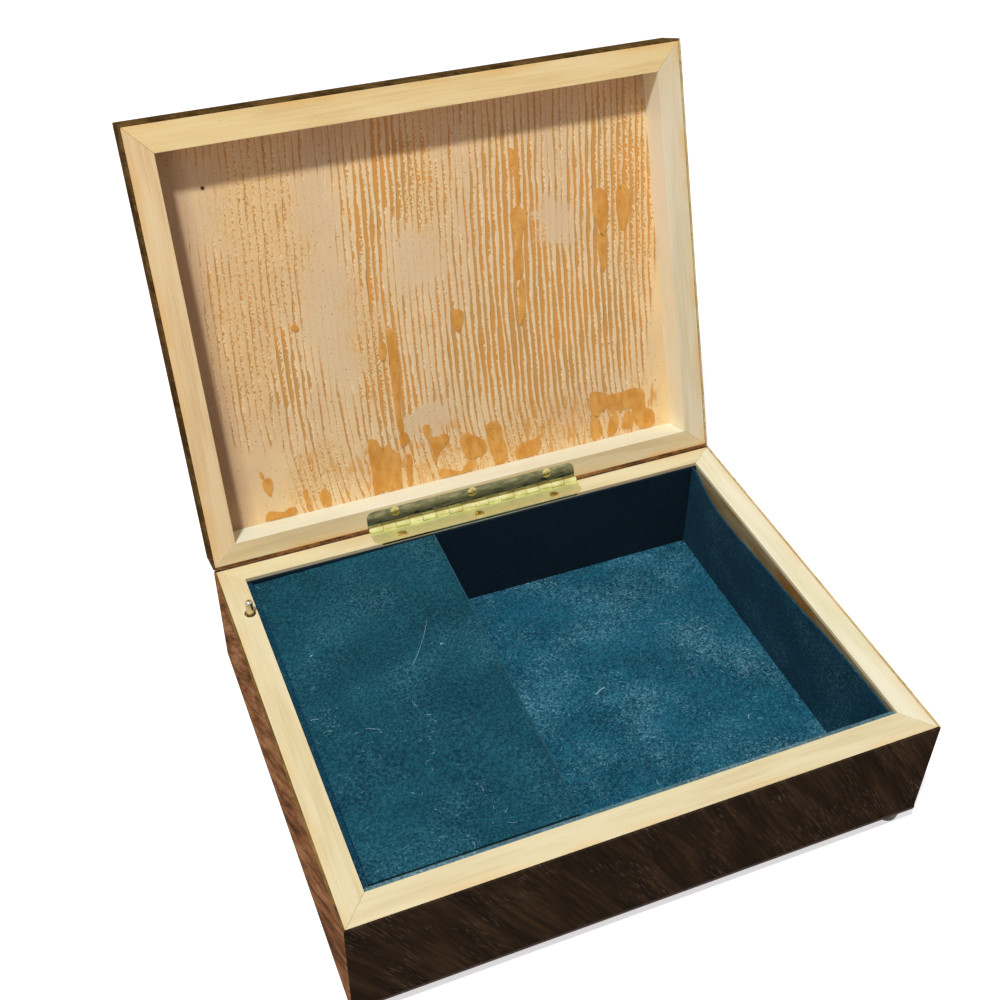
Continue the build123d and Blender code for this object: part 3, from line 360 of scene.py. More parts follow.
@dataclass(frozen=True)
class CombedGlue(Finish):
    """Thin board with old hide glue left in comb marks: beige film, amber ribs and cream crests, with
    painted highlights on the crests and painted shade under the top and left rails.

    Attributes:
        pitch: Mean distance between the comb's marks, in mm.
        wet: Ovals where the glue lies thick: middle x, middle up, half width, half height, in mm.
        mottled: Ovals where thin glue dried in yellow crumbs, as above.
        dry: Ovals that the comb left almost bare, as above.
        nail: The dark head of a nail, as above.
    """

    pitch: float = 2.75
    wet: tuple = (
        (45.0, 62.0, 52.0, 34.0), (-22.0, 52.0, 11.0, 28.0), (82.0, 112.0, 22.0, 34.0),
        (-8.0, 134.0, 14.0, 22.0), (36.0, 100.0, 16.0, 46.0), (-24.0, 118.0, 6.0, 30.0),
        (-63.0, 64.0, 7.0, 22.0),
    )
    mottled: tuple = (
        (-76.0, 84.0, 15.0, 34.0), (0.0, 126.0, 10.0, 24.0), (88.0, 108.0, 12.0, 38.0),
        (-64.0, 118.0, 20.0, 34.0), (-30.0, 74.0, 9.0, 30.0), (-60.0, 24.0, 14.0, 9.0),
        (20.0, 17.0, 60.0, 9.0),
    )
    dry: tuple = (
        (-43.0, 84.0, 11.0, 36.0), (-42.0, 126.0, 8.0, 18.0), (-6.0, 100.0, 12.0, 15.0),
        (-10.0, 36.0, 15.0, 7.0), (-84.0, 136.0, 13.0, 20.0), (52.0, 104.0, 10.0, 10.0),
    )
    nail: tuple = ((-81.6, 140.8, 0.85, 0.85),)

    def ovals(self, tree: Tree, place: Node, areas: tuple) -> Node:
        """How deep a point lies in any of some soft-edged ovals.

        Args:
            tree: The node tree it is made in.
            place: Coordinates in lid mm.
            areas: The ovals, as in the class's attributes.

        Returns:
            A node from 0 outside them to 1 well inside.
        """
        depth = None
        for x, up, half_x, half_up in areas:
            moved = put(tree, "VectorMath", (place, (-x, -up, 0.0)), "ADD")
            scaled = put(tree, "VectorMath", (moved, (1 / half_x, 1 / half_up, 0.0)), "MULTIPLY")
            away = put(tree, "VectorMath", (scaled,), "LENGTH")
            here = put(tree, "MapRange", (away.outputs[1], 1.45, 0.35), "SMOOTHSTEP")
            if depth is not None:
                here = put(tree, "Math", (depth, here), "MAXIMUM")
            depth = here
        return depth

    def product(self, tree: Tree, *shares: object) -> object:
        """Several shares multiplied together."""
        total = shares[0]
        for share in shares[1:]:
            total = put(tree, "Math", (total, share), "MULTIPLY")
        return total

    def pattern(self, tree: Tree, shader: Node) -> None:
        """Nearly straight ribs of uneven width with crests, crumbs, dry islands and specks, plus
        painted highlights on the crests and painted shade under the top and left rails.
        """
        place = Run.LID_BOARD.value.coordinates(tree)
        axes = put(tree, "SeparateXYZ", (place,))
        across = axes.outputs[0]
        up = axes.outputs[1]
        # The ovals' outlines wander by some millimetres.
        wander = put(tree, "TexNoise", {"Vector": place, "Scale": 0.11, "Detail": 4.0})
        feeds = (wander.outputs[1], (20.0, 34.0, 0.0), place)
        wandering = put(tree, "VectorMath", feeds, "MULTIPLY_ADD")
        loose = put(tree, "VectorMath", (wandering, (-10.0, -17.0, 0.0)), "ADD")
        wet = self.ovals(tree, loose, self.wet)
        crumbed = self.ovals(tree, loose, self.mottled)
        dry = self.ovals(tree, loose, self.dry)
        # The comb leaned over near the top of its stroke and swung out at the foot.
        lean = put(tree, "MapRange", (up, 40.0, 240.0, 0.0, -12.0), "SMOOTHSTEP")
        swing = put(tree, "MapRange", (up, 38.0, -20.0, 0.0, -6.4), "SMOOTHSTEP")
        slow = put(tree, "VectorMath", (place, (0.3, 0.045, 0.0)), "MULTIPLY")
        waver = put(tree, "TexNoise", {"Vector": slow, "Scale": 1.0, "Detail": 4.0})
        stroke = across
        for shift, size in ((lean, 1.0), (swing, 1.0), (waver, 2.6)):
            stroke = put(tree, "Math", (shift, size, stroke), "MULTIPLY_ADD")
        turns = put(tree, "Math", (stroke, 1 / self.pitch), "MULTIPLY")
        rib = put(tree, "Math", (turns,), "FLOOR")
        phase = put(tree, "Math", (turns,), "FRACT")
        each = put(tree, "TexWhiteNoise", {"W": rib}, "1D")
        along = put(tree, "CombineXYZ", (rib, up))
        own = patches(tree, along, (0.31, 26.0, 1.0), 0.34, 0.68, 3)
        # A rib is as wide as its own chance, its place along the stroke and the glue allow.
        width = 0.04
        for share, size in ((each, 0.12), (own, 0.22), (wet, 0.44)):
            width = put(tree, "Math", (share, size, width), "MULTIPLY_ADD")
        inner = put(tree, "Math", (width, phase), "SUBTRACT")
        crumbs = patches(tree, place, (0.85, 1.1, 1.0), 0.28, 0.72, 3)
        rough = put(tree, "Math", (crumbed, 0.55, 0.26), "MULTIPLY_ADD")
        eroded = put(tree, "Math", (crumbed, -0.28, inner), "MULTIPLY_ADD")
        ragged = put(tree, "Math", (crumbs, rough, eroded), "MULTIPLY_ADD")
        band = put(tree, "MapRange", (ragged, 0.10, 0.18))
        start = put(tree, "MapRange", (phase, 0.0, 0.06))
        beaded = patches(tree, along, (0.37, 9.0, 1.0), 0.36, 0.6, 3)
        # The crests are raised cream glue; their colour is partly a painted highlight on each rib's
        # lit side.
        crest_in = put(tree, "MapRange", (ragged, -0.12, 0.0))
        crest_out = put(tree, "MapRange", (ragged, 0.14, 0.08))
        scored = put(tree, "MapRange", (phase, 0.15, 0.05))
        # The comb missed the left margin, the lower left corner and the lower right edge.
        left = put(tree, "MapRange", (across, -92.0, -90.5))
        edge = put(tree, "Math", (up, -0.2, across), "MULTIPLY_ADD")
        right = put(tree, "MapRange", (edge, 81.5, 80.0))
        slope = put(tree, "Math", (across, 0.42, up), "MULTIPLY_ADD")
        stepped = put(tree, "Math", (each, 12.0, slope), "MULTIPLY_ADD")
        corner = put(tree, "MapRange", (stepped, 14.0, 16.0))
        inward = put(tree, "MapRange", (across, -72.0, -64.0))
        above = put(tree, "Math", (corner, inward), "MAXIMUM")
        eaten = put(tree, "Math", (crumbs, 0.7, dry), "MULTIPLY_ADD")
        bare = put(tree, "MapRange", (eaten, 0.75, 1.15))
        bare = put(tree, "MapRange", {0: bare, 3: 1.0, 4: 0.15})
        # Below the drops' tops the glue ran between them in leaning tongues.
        foot = put(tree, "MapRange", (up, 36.0, 27.0))
        tongues = patches(tree, place, (1.7, 9.0, 1.0), 0.52, 0.57, 3)
        pooled = patches(tree, place, (17.0, 40.0, 1.0), 0.42, 0.56)
        combed = self.product(tree, left, right, above)
        # Painted shade: a rose darkening of the board's top 13 mm stands for the shadow under the top
        # rail.
        high = put(tree, "MapRange", (up, 143.0, 156.0))
        # Painted shadow: the left rail's soft shadow darkens the board's left 7 mm.
        margin = put(tree, "MapRange", (across, -85.0, -92.0))
        film_tone = patches(tree, place, (30, 34, 10), 0.3, 0.7, 4)
        amber_tone = patches(tree, place, (9, 22, 10), 0.3, 0.7, 4)
        fine = patches(tree, place, (0.6, 0.75, 1.0), 0.3, 0.7, 3)
        film = put(tree, "Mix", {0: film_tone, 6: "#DDBE92", 7: "#EACD98"}, "RGBA")
        amber = put(tree, "Mix", {0: amber_tone, 6: "#C9974F", 7: "#DA9844"}, "RGBA")
        colour = film
        layers = (
            (self.product(tree, wet, 0.75), "#EFD8A8"),
            (self.product(tree, dry, 0.7), "#DCC39C"),
            (self.product(tree, fine, 0.22), "#EBD3A0"),
            (self.product(tree, crumbed, crumbs, left, 0.75), "#DBAD62"),
            # Cream crests, partly a painted highlight.
            (self.product(tree, crest_in, crest_out, beaded, combed, bare, 0.8), "#F6E2B4"),
            (self.product(tree, band, start, combed, bare, 0.97), amber),
            (self.product(tree, scored, own, combed, bare, 0.75), "#967648"),
            (self.product(tree, foot, tongues, pooled, inward, 0.85), "#D89C4A"),
            # Painted shade under the top rail.
            (self.product(tree, high, 0.3), "#C08672"),
            # Painted shadow of the left rail.
            (self.product(tree, margin, 0.55), "#8C6C56"),
            (patches(tree, place, (0.8, 0.9, 1), 0.71, 0.76, 1), "#6B4A28"),
            (self.ovals(tree, place, self.nail), "#2E1A10"),
        )
        for share, over in layers:
            colour = put(tree, "Mix", {0: share, 6: colour, 7: over}, "RGBA")
        height = put(tree, "Math", (crest_in, 1.2, self.product(tree, fine, 0.5)), "MULTIPLY_ADD")
        gloss = put(tree, "MapRange", {0: band, 3: 0.78, 4: 0.5})
        self.coat(shader, colour, gloss, (height, 0.3, 0.0002), 0.25)


@dataclass(frozen=True)
class DriedGlue(Finish):
    """Dried hide glue: amber, slightly glossy, cloudy where it dried thin."""

    def pattern(self, tree: Tree, shader: Node) -> None:
        """Cloudy amber with small crackle and a few dark pits."""
        place = Run.LID_BOARD.value.coordinates(tree)
        cloud = patches(tree, place, (3, 7, 3), 0.3, 0.7, 4)
        amber = put(tree, "Mix", {0: cloud, 6: "#CB8C38", 7: "#DCA654"}, "RGBA")
        pits = patches(tree, place, (0.8, 0.9, 1), 0.70, 0.76, 1)
        pitted = put(tree, "Mix", {0: pits, 6: amber, 7: "#9A6428"}, "RGBA")
        self.coat(shader, pitted, 0.42, (cloud, 0.3, 0.0001), 0.3)


@dataclass(frozen=True)
class Flocking(Finish):
    """Rayon flock on card: matt teal pile, brushed both ways, with dust and lint caught in it.

    Attributes:
        tones: Pile seen end on, pile seen flat, and dust.
        dust: How much dust lies in it, from 0 to 1.
    """

    tones: Tones = ("#16404F", "#22566A", "#5E8F9C")
    dust: float = 0.5

    def pattern(self, tree: Tree, shader: Node) -> None:
        """Mottled pile drawn coarser than real so that it shows, with dust, flecks and fibres."""
        place = Run.CASE_WIDE.value.coordinates(tree)
        pile = patches(tree, place, (0.95, 0.95, 0.95), 0.36, 0.64, 3)
        brushed = patches(tree, place, (30, 22, 22), 0.3, 0.7, 3)
        nap = put(tree, "Math", (brushed, 0.35), "MULTIPLY")
        mixed = put(tree, "Math", (pile, 0.65, nap), "MULTIPLY_ADD")
        teal = put(tree, "Mix", {0: mixed, 6: self.tones[0], 7: self.tones[1]}, "RGBA")
        flecks = patches(tree, place, (1.3, 0.55, 0.7), 0.58, 0.70, 3)
        flecks_other = patches(tree, place, (0.55, 1.6, 0.7), 0.60, 0.72, 3)
        lint = put(tree, "Math", (flecks, flecks_other), "MAXIMUM")
        # Loose fibres lie in curls: the lines along which a soft noise keeps one value.
        feeds = {"Vector": place, "Scale": 0.28, "Detail": 2.0, "Distortion": 0.6}
        bends = put(tree, "TexNoise", feeds)
        off = put(tree, "Math", (bends, 0.5), "SUBTRACT")
        near = put(tree, "Math", (off,), "ABSOLUTE")
        curls = put(tree, "MapRange", (near, 0.011, 0.004))
        broken = patches(tree, place, (2.6, 2.6, 2.6), 0.54, 0.62, 2)
        fibres = put(tree, "Math", (curls, broken), "MULTIPLY")
        caught = put(tree, "Math", (lint, fibres), "MAXIMUM")
        drifts = patches(tree, place, (24, 28, 24), 0.42, 0.66, 6)
        reach = put(tree, "MapRange", {0: drifts, 3: 0.3 * self.dust, 4: self.dust})
        powder = put(tree, "Math", (drifts, pile), "MULTIPLY")
        bloom = put(tree, "Math", (powder, 0.15), "MULTIPLY")
        laid = put(tree, "Math", (caught, 0.8, bloom), "MULTIPLY_ADD")
        share = put(tree, "Math", (laid, reach), "MULTIPLY")
        dusty = put(tree, "Mix", {0: share, 6: teal, 7: self.tones[2]}, "RGBA")
        sheen = {"Sheen Weight": 0.04, "Sheen Roughness": 0.5, "Sheen Tint": "#9CC4CC"}
        self.coat(shader, dusty, 0.95, (pile, 0.5, 0.00025), 0.1, sheen)


@dataclass(frozen=True)
class WorkedMetal(Finish):
    """A bare metal part: its colour, how smooth it was worked, and light smears and scratches.

    Attributes:
        colour: The clean metal.
        dull: The same metal where it is fingered or tarnished.
        roughness: Smoothest and roughest part of its surface.
        pits: Depth of its surface texture, in mm.
    """

    colour: str = "#E3CB62"
    dull: str = "#B39A3E"
    roughness: tuple[float, float] = (0.1, 0.28)
    pits: float = 0.01

    def pattern(self, tree: Tree, shader: Node) -> None:
        """Smears of tarnish and long fine scratches."""
        place = Run.CASE_WIDE.value.coordinates(tree)
        smear = patches(tree, place, (5, 3, 3), 0.35, 0.7, 4)
        scratch = patches(tree, place, (7, 0.18, 0.18), 0.55, 0.7, 2)
        tone = put(tree, "Mix", {0: smear, 6: self.colour, 7: self.dull}, "RGBA")
        marked = put(tree, "Math", (smear, scratch), "MAXIMUM")
        gloss = put(tree, "MapRange", {0: marked, 3: self.roughness[0], 4: self.roughness[1]})
        self.coat(shader, tone, gloss, (scratch, 0.3, self.pits * MM), more={"Metallic": 1.0})


@dataclass(frozen=True)
class MouldedPlastic(Finish):
    """Injection moulded plastic: even colour with a fine spark texture and handling shine.

    Attributes:
        colour: The plastic.
        worn: The same plastic where it is rubbed.
        roughness: Smoothest and roughest part of its surface.
    """

    colour: str = "#0D0C0B"
    worn: str = "#1C1A18"
    roughness: tuple[float, float] = (0.35, 0.6)

    def pattern(self, tree: Tree, shader: Node) -> None:
        """Fine spark texture at 0.3 mm and broad rubbed patches."""
        place = Run.CASE_WIDE.value.coordinates(tree)
        spark = patches(tree, place, (0.3, 0.3, 0.3), 0.3, 0.7, 1)
        rubbed = patches(tree, place, (6, 6, 4), 0.4, 0.7, 3)
        tone = put(tree, "Mix", {0: rubbed, 6: self.colour, 7: self.worn}, "RGBA")
        gloss = put(tree, "MapRange", {0: rubbed, 3: self.roughness[1], 4: self.roughness[0]})
        self.coat(shader, tone, gloss, (spark, 0.2, 0.00004))


@dataclass(frozen=True)
class SawnBoard(Finish):
    """Sawn inner wood or pressed board: matt, coarse grained, unfinished.

    Attributes:
        tones: Darker and lighter colour.
        grain: Size of its grain along and across, in mm.
    """

    tones: tuple[str, str] = ("#B08A58", "#D2B181")
    grain: tuple[float, float] = (18.0, 1.1)

    def pattern(self, tree: Tree, shader: Node) -> None:
        """Long coarse grain with fuzz."""
        place = Run.CASE_WIDE.value.coordinates(tree)
        size = (self.grain[0], self.grain[1], self.grain[1])
        grain = patches(tree, place, size, 0.3, 0.7, 4)
        tone = put(tree, "Mix", {0: grain, 6: self.tones[0], 7: self.tones[1]}, "RGBA")
        self.coat(shader, tone, 0.8, (grain, 0.35, 0.0001), 0.2)


@dataclass(frozen=True)
class StudioPaper(Finish):
    """A sheet of pale studio paper that reads as white behind the object and keeps its shadow."""

    def pattern(self, tree: Tree, shader: Node) -> None:
        """Plain paper for the object's light, lifted to white where it is seen or mirrored."""
        seen = seen_or_mirrored(tree)
        fibre = put(tree, "TexNoise", {"Scale": 900.0, "Detail": 2.0})
        tone = put(tree, "Mix", {0: fibre, 6: "#DCDBD9", 7: "#E2E1DF"}, "RGBA")
        glow = put(tree, "Math", (seen, 0.62), "MULTIPLY")
        connect(
            tree,
            shader,
            {
                "Base Color": tone,
                "Roughness": 0.9,
                "Specular IOR Level": 0.0,
                "Emission Color": "#FFFFFF",
                "Emission Strength": glow,
            },
        )


def hold(piece: Piece) -> None:
    """Leaves object mode with only this piece selected and active."""
    if bpy.context.object is not None and bpy.context.object.mode != "OBJECT":
        bpy.ops.object.mode_set(mode="OBJECT")
    bpy.ops.object.select_all(action="DESELECT")
    bpy.context.view_layer.objects.active = piece
    piece.select_set(True)


def pick(piece: Piece, test: Test = lambda face: True) -> None:
    """Opens a piece in edit mode with the faces selected that pass a test.

    Args:
        piece: The piece to edit.
        test: Says for each face whether it is selected.
    """
    hold(piece)
    bpy.ops.object.mode_set(mode="EDIT")
    bpy.ops.mesh.select_mode(type="FACE")
    bpy.ops.mesh.select_all(action="DESELECT")
    bpy.ops.object.mode_set(mode="OBJECT")
    for face in piece.data.polygons:
        face.select = test(face)
    bpy.ops.object.mode_set(mode="EDIT")


def soften(piece: Piece, width: float, segments: int = 2, angle: float = 32.0) -> None:
    """Rounds a piece's sharp edges and smooths its curved faces.

    Args:
        piece: The piece to finish.
        width: Width of the rounding, in mm.
        segments: Steps in the rounding.
        angle: Only edges that turn by more than this are rounded, in degrees.
    """
    hold(piece)
    bevel = piece.modifiers.new("worn_edge", "BEVEL")
    bevel.width = width * MM
    bevel.segments = segments
    bevel.limit_method = "ANGLE"
    bevel.angle_limit = math.radians(angle)
    bpy.ops.object.modifier_apply(modifier=bevel.name)
    bpy.ops.object.shade_smooth_by_angle(angle=math.radians(38))
    flat = piece.modifiers.new("flat_faces", "WEIGHTED_NORMAL")
    flat.keep_sharp = True
    bpy.ops.object.modifier_apply(modifier=flat.name)


def linked(name: str, data: bpy.types.ID) -> Piece:
    """A new object in the scene round some data."""
    made = bpy.data.objects.new(name, data)
    bpy.context.scene.collection.objects.link(made)
    return made


def twin(node: str, name: str) -> Piece:
    """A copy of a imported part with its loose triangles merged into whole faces.

    Args:
        node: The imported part's name.
        name: The copy's name.

    Returns:
        The copy, as an object of its own.
    """
    piece = linked(name, frame["nodes"][node].data.copy())
    hold(piece)
    bpy.ops.mesh.customdata_custom_splitnormals_clear()
    bpy.ops.object.mode_set(mode="EDIT")
    bpy.ops.mesh.select_all(action="SELECT")
    bpy.ops.mesh.remove_doubles(threshold=0.000002)
    bpy.ops.mesh.dissolve_limited(angle_limit=math.radians(1.0))
    bpy.ops.object.mode_set(mode="OBJECT")
    return piece


def merged(pieces: list[Piece], name: str) -> Piece:
    """Joins pieces into one object.

    Args:
        pieces: The pieces, which the first one takes in.
        name: The joined piece's name.

    Returns:
        The joined piece.
    """
    hold(pieces[0])
    for piece in pieces:
        piece.select_set(True)
    bpy.ops.object.join()
    pieces[0].name = name
    return pieces[0]


def copied(source: Piece, turn: Matrix) -> Piece:
    """A copy of a piece with a mesh of its own, whose points are moved by a matrix in metres."""
    copy = linked(source.name, source.data.copy())
    copy.data.transform(turn)
    return copy


def settle(piece: Piece) -> None:
    """Moves a piece's place into its mesh, so that its object sits at the origin unturned."""
    bpy.context.view_layer.update()
    piece.data.transform(piece.matrix_world)
    piece.matrix_world = Matrix.Identity(4)


def curved(low: object, high: object, slope_in: object, slope_out: object, t: float) -> object:
    """The place or value at a share t of the way from low to high on a smooth curve."""
    near = low * (2 * t**3 - 3 * t**2 + 1) + slope_in * (t**3 - 2 * t**2 + t)
    return near + (high * (3 * t**2 - 2 * t**3) + slope_out * (t**3 - t**2))


def smooth_outline(points: tuple, steps: int, jitter: float, chance: random.Random) -> list:
    """A closed smooth line through given points.

    Args:
        points: Corners of the outline, in mm.
        steps: Points on each stretch.
        jitter: Largest random offset of a point, in mm.
        chance: Source of the offsets.

    Returns:
        Points of the line, in mm.
    """
    line = []
    count = len(points)
    for at in range(count):
        corners = [Vector(points[(at + step) % count]) for step in (-1, 0, 1, 2)]
        before, here, after, beyond = corners
        for step in range(steps):
            spot = curved(here, after, (after - before) / 2, (beyond - here) / 2, step / steps)
            spot += Vector((chance.uniform(-jitter, jitter), chance.uniform(-jitter, jitter)))
            line.append(spot)
    return line


@dataclass
class SubAssembly:
    """Pieces of the box that are dressed together.

    Attributes:
        body: The CAD body that they move with.
    """

    body: str = "case"

    def keep(self, piece: Piece, finish: Finish, slot: str, *nodes: str) -> Piece:
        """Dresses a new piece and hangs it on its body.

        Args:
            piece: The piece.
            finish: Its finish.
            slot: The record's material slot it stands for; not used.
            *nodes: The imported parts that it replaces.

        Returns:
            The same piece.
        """
        piece.data.materials.clear()
        piece.data.materials.append(finish.material())
        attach(piece, self.body)
        if nodes:
            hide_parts(*nodes)
        log.info("%s: %d faces on %s", piece.name, len(piece.data.polygons), self.body)
        return piece

    def remake(
        self,
        node: str,
        name: str,
        finish: Finish,
        slot: str,
        width: float,
        segments: int = 2,
        angle: float = 32.0,
    ) -> Piece:
        """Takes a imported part's place by a copy of it with rounded edges.

        Args:
            node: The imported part's name.
            name: What the copy's name adds to it.
            finish: The copy's finish.
            slot: The record's material slot it stands for.
            width: Width of the rounding, in mm.
            segments: Steps in the rounding.
            angle: Only edges that turn by more than this are rounded, in degrees.

        Returns:
            The copy.
        """
        piece = twin(node, f"{node}_{name}")
        soften(piece, width, segments, angle)
        return self.keep(piece, finish, slot, node)

    def face(self, piece: Piece, finish: Finish, test: Test) -> None:
        """Gives some faces of a piece a second finish.

        Args:
            piece: The piece.
            finish: The finish of those faces.
            test: Says for each face whether it is one of them.
        """
        piece.data.materials.append(finish.material())
        pick(piece, test)
        piece.active_material_index = len(piece.data.materials) - 1
        bpy.ops.object.material_slot_assign()
        bpy.ops.object.mode_set(mode="OBJECT")

    def dress(self, node: str, finish: Finish) -> None:
        """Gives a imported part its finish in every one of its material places."""
        part = frame["nodes"][node]
        for place in part.material_slots:
            place.material = finish.material()
        log.info("%s: %s", node, finish.name)


@dataclass
class CaseShell(SubAssembly):
    """The case's mitred walls, its veneer, its base and its feet.

    Attributes:
        wood_edge: Rounding of the walls' arrises, in mm.
        veneer_edge: Rounding of the veneer's arrises, in mm.
        proud: How far the back veneer stands up behind the rim, in mm.
        foot_radius: Radius of a foot, in mm.
        foot_height: Height of a foot, in mm.
        foot_inset: Middle of a foot from the case's sides, in mm.
    """

    wood_edge: float = 0.22
    veneer_edge: float = 0.3
    proud: float = 0.24
    foot_radius: float = 4.8
    foot_height: float = 5.5
    foot_inset: float = 6.4

    def build(self) -> None:
        """Walls, veneers, base and feet."""
        wide = (Run.CASE_WIDE.value, (107.0, 83.0))
        deep = (Run.CASE_DEEP.value, (83.0, 107.0))
        cream = ("#D2C494", "#DED4A7", "#E6DFB7")
        pale = ("#DEDBAE", "#E9E6C2", "#F0EED2")
        # Brown of the left and right veneers, partly a different stain and partly painted light like
        # the lit left side.
        brown = ("#563F30", "#8F6341", "#B1865F")
        edges = {
            "back": StainedVeneer("sanded_edge_back", tones=("#3E2812", "#5F401E", "#7C582C")),
            "left": StainedVeneer("sanded_edge_left", tones=("#5E4A26", "#7E6634", "#9A8048")),
            "right": StainedVeneer("sanded_edge_right", tones=SANDED),
        }
        # Front and back keep near-black tones, partly painted shade; the sides' brown is partly
        # painted light.
        sides = {
            "front": (wide, cream, Run.FRONT_SLANT, ("#251F17", "#2F261C", "#413223")),
            "back": (wide, cream, Run.FRONT_SLANT, STAIN),
            "left": (deep, cream, Run.SIDE_SLANT, brown),
            "right": (deep, pale, Run.SIDE_SLANT, brown),
        }
        for side, (grain, planed, slant, tones) in sides.items():
            wood = PlanedMaple(f"planed_maple_{side}", *grain, planed)
            self.remake(f"{side}_wall", "planed", wood, "rim_wood", self.wood_edge)
            veneer = twin(f"{side}_veneer", f"{side}_veneer_rubbed")
            if side == "back":
                pick(veneer, lambda face: face.normal.z > 0.9)
                bpy.ops.transform.translate(value=(0, 0, self.proud * MM))
            soften(veneer, 0.04 if side == "back" else self.veneer_edge)
            streak = "#38261A" if tones == brown else "#574C40"
            stain = StainedVeneer(f"stained_veneer_{side}", slant.value, tones, streak)
            self.keep(veneer, stain, "dark_veneer", f"{side}_veneer")
            if side in edges:
                self.face(veneer, edges[side], lambda face: face.normal.z > 0.5)
        board = SawnBoard("pressed_hardboard", ("#2E221B", "#46352A"), (1.6, 1.2))
        self.remake("bottom_panel", "eased", board, "base_board", 0.3, angle=50)
        self.feet()

    def feet(self) -> None:
        """Four bun feet, turned once and copied, each with a sunk screw hole below."""
        bpy.ops.mesh.primitive_cylinder_add(
            vertices=48,
            radius=self.foot_radius * MM,
            depth=self.foot_height * MM,
            location=(0, 0, self.foot_height * MM / 2),
        )
        foot = bpy.context.object
        settle(foot)
        pick(foot, lambda face: face.normal.z < -0.9)
        bpy.ops.transform.resize(value=(0.8, 0.8, 1.0))
        bpy.ops.mesh.inset(thickness=1.5 * MM, depth=0)
        bpy.ops.mesh.extrude_region_move(TRANSFORM_OT_translate={"value": (0, 0, 1.6 * MM)})
        soften(foot, 0.7, 4)
        made = []
        for at_x in (-1, 1):
            for at_y in (-1, 1):
                x = at_x * (CASE_HALF[0] - self.foot_inset)
                y = CASE_MIDDLE[1] + at_y * (CASE_HALF[1] - self.foot_inset)
                made.append(copied(foot, Matrix.Translation(Vector((x, y, 0)) * MM)))
        bpy.data.objects.remove(foot)
        plastic = MouldedPlastic("moulded_foot_plastic")
        self.keep(merged(made, "bun_feet"), plastic, "foot_plastic", "feet")


